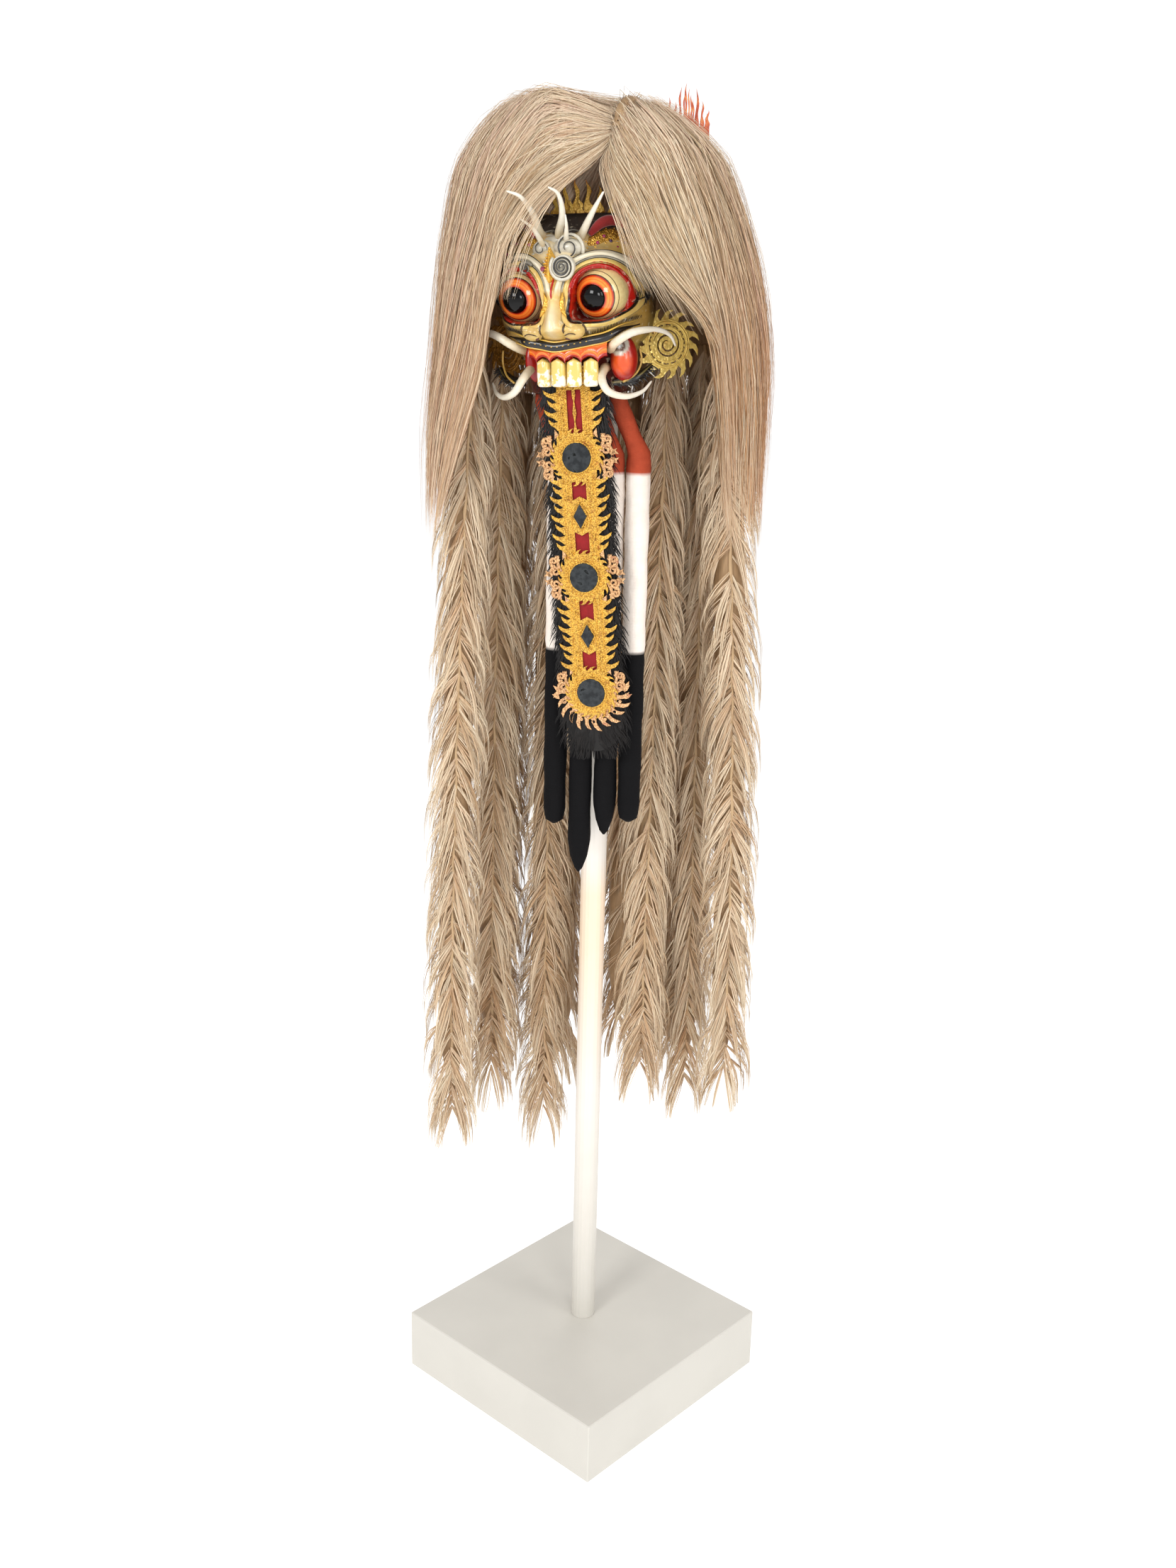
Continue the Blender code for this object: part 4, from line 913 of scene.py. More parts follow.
def make_eyes(scene):
    face = scene.mask_face
    material, tree, shader = finish("lacquered eyeball")
    ring = added(tree, "Attribute", attribute_name="ring").outputs["Fac"]
    orange, red = (rgba("#ee6a20"), rgba("#b02c12"))
    amber, ivory = (rgba("#f7963a"), rgba("#dcc58a"))
    dark, black = (rgba("#3a2a1c"), rgba(face.black))
    bands = ramp(tree, ring, [(0.0, black), (0.285, black), (0.3, red), (0.33, red),
        (0.355, orange), (0.4, amber), (0.43, orange), (0.455, amber), (0.485, orange), (0.51, red),
        (0.53, red), (0.535, dark), (0.555, dark), (0.565, ivory), (0.655, ivory), (0.66, dark),
        (0.672, dark), (0.68, ivory), (1.0, ivory)])
    streaks = mixed(tree, 0.3, bands, grain(tree, 0.004, 5.0), "OVERLAY")
    give(shader, {"Base Color": streaks, "Roughness": 0.16, "Coat Weight": 0.6})
    black_lacquer, tree, shader = finish("black lacquer")
    shine = mixed(tree, 0.2, rgba("#050404"), grain(tree, 0.006, 4.0), "OVERLAY")
    give(shader, {"Base Color": shine, "Roughness": 0.05, "Specular IOR Level": 0.28})
    gaze = SEAT.to_3x3() @ Vector((GAZE.x, -GAZE.z, GAZE.y))
    turn = gaze.to_track_quat("Z", "Y").to_matrix().to_4x4()
    for side, (u, v) in EYE_CENTRES.items():
        inward = -0.0035 if side == "right" else 0.0035
        centre = SEAT @ Vector((u + inward, -EYEBALL_FORWARD, v + 0.002))
        eyeball = ball("uv_sphere", Matrix.Translation(centre) @ turn, "eyeball_" + side,
                       segments=64, ring_count=40, radius=EYEBALL_RADIUS)
        rings = eyeball.data.attributes.new("ring", "FLOAT", "POINT")
        for spot, value in zip(eyeball.data.vertices, rings.data):
            value.value = (spot.co - centre).angle(gaze) / (math.pi / 2)
        hand_over(eyeball, material, "painted_wood", "mask_face")
        seat = centre + gaze * (EYEBALL_RADIUS * math.cos(math.asin(0.49)) - 0.001)
        flat = Matrix.Diagonal((1.0, 1.0, 0.62, 1.0))
        pupil = ball("uv_sphere", Matrix.Translation(seat) @ turn @ flat, "pupil_" + side,
                     segments=48, ring_count=28, radius=PUPIL_RADIUS)
        hand_over(pupil, black_lacquer, "painted_wood", "mask_face")


def make_mouth(scene):
    face = scene.mask_face
    black, gold = linear("#15110f"), linear("#d9ad48")
    lines = Shape()
    ends = np.clip(np.minimum(np.arange(70), np.arange(70)[::-1]) / 14, 0.15, 1)
    sweep(lines, lip_line(0.0, 0.0), 0.0058 * ends, 0.005 * ends, FORWARD, 12, paint=black)
    for offset in (0.0058, -0.0056):
        sweep(lines, lip_line(offset, 0.0006), 0.0014 * ends, 0.0014 * ends, FORWARD, 7, paint=gold)
    middle = lip_line(0.0, 0.005)
    rng = np.random.default_rng(4)
    for index in range(12, 58, 3):
        step = middle[index + 1] - middle[index]
        spot = np.array([middle[index] - 0.4 * step, middle[index], middle[index] + 0.4 * step])
        sweep(lines, spot, 0.0006, 0.0005, FORWARD, 5, paint=gold)
    # Bristles painted as raised lines over the moustache, round the nostrils and on the cheeks
    rows = [(u, float(lip_height(u)) + 0.007, 0.0055) for u in np.linspace(-0.078, 0.094, 110)
            if abs(u + 0.004) > 0.04]
    for middle_u, start, end in ((0.023, 15, 165), (-0.032, 15, 165)):
        for angle in np.radians(np.linspace(start, end, 22)):
            rows.append((middle_u + 0.0085 * math.cos(angle), -0.029 + 0.0045 * math.sin(angle),
                         0.0042))
    for start, v, tall in rows:
        lean = 0.0022 * math.copysign(1, start + 0.004) * rng.uniform(0.3, 1.3)
        tall = tall * rng.uniform(0.6, 1.2)
        strand = [(start, v), (start + lean * 0.5, v + tall / 2), (start + lean, v + tall)]
        bead(lines, strand, 0.00038, 0.0004, 0.0003, 5, 4, paint=black)
    hand_over(lines.piece("moustache"), painted_lines("black and gold line lacquer"),
              "painted_wood", "mask_face")
    make_gum(face)
    make_teeth(face)
    make_cheek_pockets(face)


def gum_depth(u):
    return GUM_FORWARD - TOOTH_ARCH * (u - GUM_MIDDLE) ** 2


def make_gum(face):
    """The orange gum: a bulging band whose red scalloped edge arches over each tooth."""
    columns, rows = 145, 19
    u = np.linspace(GUM_MIDDLE - GUM_HALF_WIDTH, GUM_MIDDLE + GUM_HALF_WIDTH, columns)[None, :]
    t = np.linspace(0, 1, rows)[:, None]
    arch = np.abs(np.sin(math.pi * (u - GUM_MIDDLE) / TOOTH_WIDTH)) ** 0.55
    low = GUM_BOTTOM - 0.001 + 0.0085 * arch
    top = lip_height(u) - 0.001
    v = top + (low - top) * t
    w = gum_depth(u) + 0.0045 * np.sin(math.pi * t) - 0.002 + 0.003 * t
    w = w + 0.0016 * bell(t, 0.9, 0.06)
    orange, shaded_tone = np.array(linear("#e8661a")), np.array(linear("#b93a10"))
    red, amber = np.array(linear("#a0140c")), np.array(linear("#f3a64a"))
    # Painted shade: the gum darkens towards the moustache above it and between the teeth.
    shade = np.clip(0.5 - 0.5 * arch + 0.3 * (1 - t), 0, 1)[..., None]
    paint = orange * (1 - shade) + shaded_tone * shade
    line = (bell(t, 0.62 + 0.1 * (1 - arch), 0.035) + bell(t, 0.3, 0.03))[..., None]
    line = np.clip(0.8 * line, 0, 1)
    paint = paint * (1 - line) + amber * line
    rim = np.clip((t - 0.78) / 0.05, 0, 1)[..., None] + 0 * paint[..., :1]
    paint = paint * (1 - rim) + red * rim
    faces = turned_over(grid_faces(rows, columns))
    shape = Shape()
    wide = np.broadcast_to(u, v.shape)
    shape.add(in_world(np.stack([wide, v, w], axis=-1)).reshape(-1, 3), faces,
              paint=paint.reshape(-1, 3))
    gum = applied(shape.piece("gum"), "SOLIDIFY", thickness=0.012, offset=-1.0)
    hand_over(gum, painted_lines("orange lacquer gum", 0.2), "painted_wood", "mask_face")


def make_teeth(face):
    """Four broad incisors, from bevelled blocks."""
    blocks = []
    for index in range(-2, 2):
        outer = index in (-3, 2)
        u = GUM_MIDDLE + (index + 0.5) * TOOTH_WIDTH
        width = TOOTH_WIDTH - 0.0012
        if outer:
            u -= math.copysign(0.0035, u - GUM_MIDDLE)
            width *= 0.55
        height = TOOTH_TOP - TOOTH_BOTTOM - (0.004 if outer else 0.0)
        middle = (TOOTH_TOP + TOOTH_BOTTOM) / 2 + (0.002 if outer else 0.0)
        place = SEAT @ Matrix.Translation((u, -(gum_depth(u) - 0.0055), middle))
        turn = Matrix.Rotation(math.atan(2 * TOOTH_ARCH * (u - GUM_MIDDLE)) , 4, "Z")
        block = added_primitive("cube", place @ turn, size=1.0)
        block.data.transform(Matrix.Diagonal((width, 0.014, height, 1.0)))
        bpy.ops.object.mode_set(mode="EDIT")
        bpy.ops.mesh.select_all(action="SELECT")
        bpy.ops.mesh.bevel(offset=0.0046, segments=5, profile=0.5)
        bpy.ops.mesh.subdivide(number_cuts=1)
        bpy.ops.object.mode_set(mode="OBJECT")
        for spot in block.data.vertices:
            up = spot.co.z / height + 0.5
            spot.co.x *= 1 - 0.1 * max(0.0, up - 0.6)
            spot.co.y += -0.0016 * math.cos(spot.co.x / width * math.pi) * (0.4 + 0.6 * up)
            if up > 0.85:
                spot.co.z -= 0.01 * abs(spot.co.x / width) * (up - 0.85) / 0.15
        block.data.shade_smooth()
        blocks.append(settle(block))
    teeth = joined("teeth", blocks)
    material, tree, shader = finish("yellow enamel paint on teeth")
    place = added(tree, "TexCoord").outputs["Object"]
    height = added(tree, "SeparateXYZ", {"Vector": place}).outputs["Z"]
    noise = grain(tree, 0.007, 8.0)
    low = spread_out(tree, height, EYE_LEVEL + TOOTH_BOTTOM, EYE_LEVEL + TOOTH_TOP, 0.66, 0.4)
    worn = added(tree, "Math", {0: noise, 1: low}, operation="MULTIPLY")
    scuffs = ramp(tree, worn, [(0.27, rgba(face.tooth)), (0.31, rgba("#ece4cf")),
        (0.36, rgba("#efe9da"))])
    give(shader, {"Base Color": scuffs, "Normal": bump(tree, noise, 0.0004, 0.4), "Roughness": 0.26,
        "Coat Weight": 0.4})
    hand_over(teeth, material, "painted_wood", "mask_face")


def make_cheek_pockets(face):
    """The red lobe at each corner of the mouth, with a jewel, and the bristly jaw below it."""
    lobes = []
    orange, red = np.array(linear("#d8501c")), np.array(linear("#9c120c"))
    grey, brown = np.array(linear("#b9b2a3")), np.array(linear("#5a2c20"))
    for sign in (1, -1):
        seen = sign > 0
        place = (SEAT @ Matrix.Translation((0.0735 if seen else -0.043, -0.06, -0.0565))
                 @ Matrix.Rotation(sign * math.radians(38), 4, "Z")
                 @ Matrix.Diagonal((0.018 if seen else 0.009, 0.019, 0.029, 1.0)))
        lobe = ball("uv_sphere", place, segments=48, ring_count=32, radius=1.0)
        local = moved(SEAT.inverted(), np.array([tuple(spot.co) for spot in lobe.data.vertices]))
        u, v = sign * local[:, 0], local[:, 2]
        away = np.hypot((u - 0.074) / 0.0175, (v + 0.06) / 0.022)
        edge = np.clip((away - 0.55) / 0.35, 0, 1)[:, None]
        paint = orange * (1 - edge) + red * edge
        jewel = np.hypot((u - 0.071) / 0.0115, (v + 0.0405) / 0.0105)
        for inner, colour in ((1.15, grey), (0.72, brown), (0.5, grey)):
            inside = np.clip((inner - jewel) / 0.06, 0, 1)[:, None]
            paint = paint * (1 - inside) + colour * inside
        values = lobe.data.attributes.new("paint", "FLOAT_COLOR", "POINT")
        values.data.foreach_set("color", np.column_stack([paint, np.ones(len(paint))]).ravel())
        lobes.append(lobe)
    material = painted_lines("red lacquer in the cheeks", 0.32)
    hand_over(joined("cheek_lobes", lobes), material, "painted_wood", "mask_face")
    jaw = Shape()
    rng = np.random.default_rng(5)
    black, olive, gold = linear("#12100e"), linear("#6d6135"), linear("#c9a252")
    for sign in (1, -1):
        rim = smooth_line([(sign * 0.093, -0.044, 0.052), (sign * 0.0945, -0.06, 0.05),
                           (sign * 0.088, -0.076, 0.056), (sign * 0.074, -0.0855, 0.068)], 24)
        sweep(jaw, in_world(rim), 0.0014, 0.0018, FORWARD, 7, paint=gold)
        band = smooth_line([(sign * 0.06, -0.086, 0.066), (sign * 0.08, -0.084, 0.056),
                            (sign * 0.093, -0.077, 0.046), (sign * 0.104, -0.066, 0.034)], 24)
        wide = 0.0075 * np.sin(np.linspace(0.6, math.pi - 0.2, 24))
        sweep(jaw, in_world(band), wide, wide * 0.7, FORWARD, 10, paint=black)
        middle = band + np.array([0.0, 0.0, 0.0042])
        sweep(jaw, in_world(middle), wide * 0.28, 0.0014, FORWARD, 7, paint=olive)
        for _ in range(90):
            at = rng.integers(2, 23)
            foot = band[at] + rng.normal(0, 0.0016, 3)
            lean = np.array([sign * rng.uniform(0.002, 0.011), rng.uniform(-0.011, 0.003), 0.002])
            # About fifteen in a hundred bristles are pale: grey hairs, and painted highlights on
            # the black bristles.
            light = linear("#d9d4c8") if rng.uniform() < 0.15 else black
            strand = in_world(smooth_line([foot, foot + 0.6 * lean, foot + lean], 5))
            sweep(jaw, strand, np.array([0.0007, 0.0007, 0.0006, 0.0005, 0.0002]), 0.0006, FORWARD,
                4, paint=light)
    hand_over(jaw.piece("jaw_bristles"), painted_lines("black lacquer and bristle on the jaw",
        0.35), "black_fur", "mask_face")
    jewel = ball("ico_sphere", in_mask(0.0725, -0.0405, 0.0805), "cheek_jewels",
                 subdivisions=1, radius=0.0042)
    hand_over(jewel, gem_material("clear glass gem", "#cfd3d2"), "mirror", "mask_face")


def gem_material(name, code):
    """Cut glass backed with foil: clear, hard and bright, deeper in colour inside."""
    material, tree, shader = finish(name)
    cells = added(tree, "TexVoronoi", {
        "Vector": added(tree, "TexCoord").outputs["Object"], "Scale": 700.0
    })
    tint = ramp(tree, cells, [(0.1, rgba(linear(code))),
        (0.8, rgba([c * 0.4 for c in linear(code)]))])
    give(shader, {"Base Color": tint, "Roughness": 0.06, "Coat Weight": 1.0,
        "Specular IOR Level": 0.8})
    return material


def tusk_material(face):
    """Boar tusk: dense, softly polished, cream at the root with faint long cracks."""
    material, tree, shader = finish("polished boar tusk")
    along = added(tree, "Attribute", attribute_name="along").outputs["Fac"]
    root = ramp(tree, along, [(0.0, rgba("#b5793a")), (0.16, rgba("#dcc9a4")),
        (0.4, rgba(face.tusk)), (1.0, rgba("#e6dfd0"))])
    grained = mixed(tree, 0.25, root, grain(tree, 0.005, 6.0), "OVERLAY")
    give(shader, {"Base Color": grained, "Normal": bump(tree, grain(tree, 0.0018, 4.0), 0.0002,
        0.25), "Roughness": 0.3, "Subsurface Weight": 0.08, "Subsurface Radius": (0.004, 0.003,
        0.002)})
    return material


def make_tusks(scene):
    face = scene.mask_face
    ivory = tusk_material(face)
    inlay = Shape()
    named = []
    for sign, side in ((1, "right"), (-1, "left")):
        named.append(("upper_tusk_" + side, MOUTH_TUSK_RADIUS, UPPER_TUSK, sign))
        named.append(("lower_tusk_" + side, MOUTH_TUSK_RADIUS, LOWER_TUSK, sign))
    for index, (radius, points) in enumerate(BROW_TUSKS):
        named.append(("brow_tusk_" + str(index + 1), radius, points, 1))
    for name, radius, points, sign in named:
        line = in_world(smooth_line([(sign * u, v, w) for u, v, w in points], 48))
        share = np.linspace(0, 1, 48)
        sizes = radius * (1 - 0.8 * share**1.7)
        sizes[-1] *= 0.3
        shape = Shape()
        sweep(shape, line, sizes, sizes, FORWARD, 16, along=share)
        hand_over(shape.piece(name + "_carved"), ivory, "ivory", name)
        tangent = unit(np.gradient(line, axis=0))
        bend = unit(np.gradient(tangent, axis=0) + 1e-6 * FORWARD)
        inner = unit(bend * 0.45 + FORWARD * 0.9) if name.startswith("brow") else unit(
            bend * 0.9 + FORWARD * 0.3)
        run = slice(6, 36)
        groove = line[run] + inner[run] * sizes[run, None] * 0.93
        sweep(inlay, groove, sizes[run] * 0.46 * np.sin(np.linspace(0.2, math.pi, 30)) + 0.0002,
              0.0006, inner[run], 8)
    hand_over(inlay.piece("tusk_inlay"),
              gold_material("gold leaf in the tusks' grooves", linear("#c98b2c"),
                            linear("#8c4a1c"), 0.0022), "gilt")


def spiral(shape, centre, outer, inner, turns, wide, rise, start, **values):
    """A carved curl on the face: a bead that winds inwards and rises."""
    count = int(26 * turns)
    share = np.linspace(0, 1, count)
    radius = outer + (inner - outer) * share
    angle = start + 2 * math.pi * turns * share
    points = np.column_stack([centre[0] + radius * np.cos(angle),
        centre[1] + radius * np.sin(angle)])
    middle = float(face_depth(np.array([centre[0]]), np.array([centre[1]]))[0]) - 0.002
    depth = middle + (rise + 0.002) * np.sqrt(np.clip(1 - (radius / (outer * 1.04)) ** 2, 0, 1))
    line = in_world(np.column_stack([points, depth]))
    size = wide * (1 - 0.72 * share)
    sweep(shape, line, size, size, FORWARD, 10, **values)


def make_forehead(scene):
    face = scene.mask_face
    shape = Shape()
    white, grey, dark = linear("#c4bdab"), linear("#7d786d"), linear("#2b2824")
    spiral(shape, (0.0125, 0.0565), 0.0165, 0.001, 3.3, 0.0028, 0.0095, 2.4, paint=white)
    spiral(shape, (0.0125, 0.0565), 0.015, 0.001, 3.3, 0.0017, 0.0115, 2.9, paint=dark)
    spiral(shape, (0.015, 0.08), 0.0185, 0.005, 1.6, 0.0024, 0.0085, -0.4, paint=white)
    spiral(shape, (0.015, 0.08), 0.017, 0.004, 1.6, 0.0015, 0.0105, 0.1, paint=dark)
    spiral(shape, (-0.041, 0.0565), 0.008, 0.0008, 1.8, 0.0022, 0.006, 0.4, paint=grey)
    spiral(shape, (-0.041, 0.0565), 0.0068, 0.0008, 1.8, 0.001, 0.0075, 0.9, paint=dark)
    spiral(shape, (-0.024, 0.08), 0.013, 0.004, 1.4, 0.003, 0.006, 3.6, paint=white)
    spiral(shape, (-0.024, 0.08), 0.0115, 0.003, 1.4, 0.0013, 0.008, 4.1, paint=dark)
    for sign in (1, -1):
        for offset in (0.0, 0.006):
            crescent = [(sign * 0.004 - 0.003, 0.094 + offset),
                (sign * 0.014 - 0.003, 0.097 + offset), (sign * 0.026 - 0.003, 0.094 + offset)]
            bead(shape, crescent, 0.0012, 0.0014, 0.001, 18, 7, paint=grey if offset else white)
    # Fine brow and lid lines, and the curl at each end of the lower lid
    for sign, side in ((1, "right"), (-1, "left")):
        cu, cv = EYE_CENTRES[side]
        for radius, size, colour, low, high in (
            (0.043, 0.00065, dark, -12, 168), (0.0455, 0.00055, grey, -10, 160),
            (0.0525, 0.0007, dark, 0, 150), (0.0375, 0.0006, linear("#7a5a1f"), -5, 165),
        ):
            arc = [(cu + sign * radius * math.cos(math.radians(a)),
                cv + radius * math.sin(math.radians(a))) for a in range(low, high, 12)]
            bead(shape, arc, size, size, 0.0004, 50, 6, paint=colour)
        tail = [(cu + sign * 0.034, cv - 0.012), (cu + sign * 0.044, cv - 0.006),
                (cu + sign * 0.052, cv + 0.001), (cu + sign * 0.05, cv + 0.006),
                (cu + sign * 0.046, cv + 0.005)]
        bead(shape, tail, 0.0007, 0.0008, 0.0006, 24, 6, paint=dark)
        cheek = [(cu - sign * 0.026, -0.01), (cu - sign * 0.006, -0.004),
            (cu + sign * 0.016, -0.002), (cu + sign * 0.034, 0.004)]
        bead(shape, cheek, 0.0007, 0.0007, 0.0004, 30, 6, paint=dark)
    brown, wing = linear("#4a3418"), linear("#cfae68")
    for crease in (
        [(0.035, -0.031), (0.0375, -0.02), (0.032, -0.01), (0.02, -0.0085)],
        [(-0.044, -0.0315), (-0.0465, -0.0215), (-0.041, -0.011), (-0.03, -0.0095)],
        [(0.013, -0.03), (0.012, -0.02), (0.0135, -0.011)],
        [(-0.022, -0.031), (-0.0205, -0.021), (-0.0195, -0.012)],
    ):
        bead(shape, crease, 0.0014, 0.0009, 0.0004, 24, 6, paint=brown)
    # Nostrils: a dark red bead in painted shade for each hole, with a brown line above it.
    for middle in (0.0225, -0.032):
        line = [(middle - 0.0095, -0.03), (middle, -0.0272), (middle + 0.0095, -0.03)]
        bead(shape, line, 0.003, 0.0014, 0.012, 16, 8, paint=linear("#4a140c"))
        bead(shape, [(u, v + 0.0036) for u, v in line], 0.0008, 0.001, 0.0125, 16, 8, paint=brown)
    for u, v, half_u, half_v, rise, tone in (
        (0.0125, 0.0575, 0.015, 0.014, 0.006, white), (0.013, 0.08, 0.0195, 0.012, 0.0075, white),
        (-0.024, 0.08, 0.0125, 0.01, 0.006, white), (-0.044, 0.059, 0.008, 0.007, 0.004, grey),
        (-0.004, 0.09, 0.02, 0.007, 0.005, white),
        (0.022, -0.0205, 0.015, 0.011, 0.002, wing), (-0.032, -0.0215, 0.0145, 0.011, 0.002, wing),
    ):
        sink = 0.013 if tone is wing else 0.002
        base = float(face_depth(np.array([u]), np.array([v]))[0]) - sink
        rings = np.linspace(0, math.pi / 2, 8)[:, None]
        turn = np.linspace(0, 2 * math.pi, 28, endpoint=False)[None, :]
        dome = np.stack([u + half_u * np.cos(rings) * np.cos(turn),
                         v + half_v * np.cos(rings) * np.sin(turn),
                         base + (rise + sink) * np.sin(rings) + 0 * turn], axis=-1)
        shape.add(in_world(dome), grid_faces(8, 28, closed=True), paint=tone)
    ridge = [(-0.002, 0.044), (-0.003, 0.038), (-0.004, 0.03), (-0.004, 0.018)]
    bead(shape, ridge, 0.0013, 0.0012, 0.0006, 20, 8, paint=list(face.red))
    hand_over(shape.piece("forehead_curls"), painted_lines("grey and white line lacquer"),
              "painted_wood", "mask_face")
    make_nose_leaves(scene)
    make_forehead_leaf(scene)
    make_brow_plates(scene)
    make_crown(scene)
    make_temple_hair(scene)


def make_nose_leaves(scene):
    """A pointed gilt leaf on each side of the bridge, beside the eye's inner corner."""
    shape = Shape()
    for sign in (1, -1):
        line = smooth_line([(sign * 0.012 - 0.003, 0.026), (sign * 0.0105 - 0.003, 0.01),
                            (sign * 0.018 - 0.003, -0.004)], 20)
        wide = 0.0036 * np.sin(np.linspace(0.05, math.pi - 0.05, 20))
        sweep(shape, on_face(line, 0.002), wide, 0.0016, FORWARD, 10)
    hand_over(shape.piece("nose_leaves"),
              gold_material("smooth gold leaf", linear("#e9b44a"), linear("#b8782a"), 0.004, 0.26,
                            0.05),
              "gilt", "mask_face")


def make_forehead_leaf(scene):
    """The pointed leaf between the brows: pearled on the left, polished on the right."""
    gilt = scene.mask_gilt
    rows, columns = 40, 25
    t = np.linspace(0, 1, rows)[:, None]
    x = np.linspace(-1, 1, columns)[None, :]

    def shares(t):
        half = LEAF_HALF_WIDTH * np.interp(t, (0, 0.08, 0.3, 0.42, 0.75, 1.0),
                                           (0.1, 0.45, 1.0, 0.92, 0.45, 0.02))
        return half, LEAF_RIDGE * np.interp(t, (0, 0.2, 0.5, 1.0), (0.5, 0.9, 1.0, 0.35))

    half, ridge = shares(t)
    u = LEAF_MIDDLE[0] + half * x + 0.001 * np.sin(t * 3)
    v = LEAF_MIDDLE[1] + LEAF_HEIGHT * t + 0 * x
    w = LEAF_BACK + ridge * (1 - np.abs(x)) ** 0.85
    shape = Shape()
    shape.add(in_world(np.stack([u, v, w], axis=-1)), grid_faces(rows, columns))
    leaf = applied(shape.piece("forehead_leaf_gilt"), "SOLIDIFY", thickness=0.0015, offset=-1.0)
    hand_over(leaf, gold_material("polished gold leaf", gilt.gold, linear("#c57a26"), 0.003, 0.22,
        0.1), "gilt", "forehead_leaf")
    beads = []
    for row in range(12):
        share = 0.1 + 0.8 * row / 11
        half_here, ridge_here = shares(share)
        for x_share in (-0.92, -0.62, -0.34):
            if half_here * abs(x_share) < 0.002:
                continue
            depth = LEAF_BACK + ridge_here * (1 - abs(x_share)) ** 0.85
            beads.append((LEAF_MIDDLE[0] + half_here * x_share,
                LEAF_MIDDLE[1] + LEAF_HEIGHT * share, depth))
    pearls("leaf_pearls", in_world(beads), 0.0013, gilt)
    middle_u, middle_v = LEAF_MIDDLE
    gem = ball("ico_sphere", in_mask(middle_u - 0.0075, middle_v + 0.024, 0.1185), "leaf_gem",
               subdivisions=2, radius=0.0034)
    hand_over(gem, gem_material("magenta glass gem", "#a81d52"), "gilt", "forehead_leaf")
    drop = ball("ico_sphere", in_mask(middle_u, middle_v + 0.002, 0.118), "leaf_drop",
                subdivisions=2, radius=0.003)
    hand_over(drop, gem_material("clear glass drop", "#d9dcd8"), "mirror", "forehead_leaf")


def pearls(name, places, radius, gilt, *nodes):
    """Small embossed beads, one at each place."""
    template = bmesh.new()
    bmesh.ops.create_icosphere(template, subdivisions=1, radius=radius)
    points = np.array([spot.co for spot in template.verts])
    faces = [[corner.index for corner in face.verts] for face in template.faces]
    template.free()
    shape = Shape()
    for place in places:
        shape.add(points + place, faces)
    made = shape.piece(name)
    material = bpy.data.materials.get("gold leaf on raised pearls") or gold_material(
        "gold leaf on raised pearls", [min(1.0, c * 1.12) for c in gilt.gold], linear("#b5722a"),
        0.004, 0.2)
    return hand_over(made, material, "gilt", *nodes)


def temple(u, v, proud=0.0):
    """Forward place of the plane that carries a brow plate."""
    out = np.abs(u) - TEMPLE_CORNER[0]
    up = v - TEMPLE_CORNER[1]
    return TEMPLE_FORWARD - TEMPLE_SLOPES[0] * out - TEMPLE_SLOPES[1] * up + proud


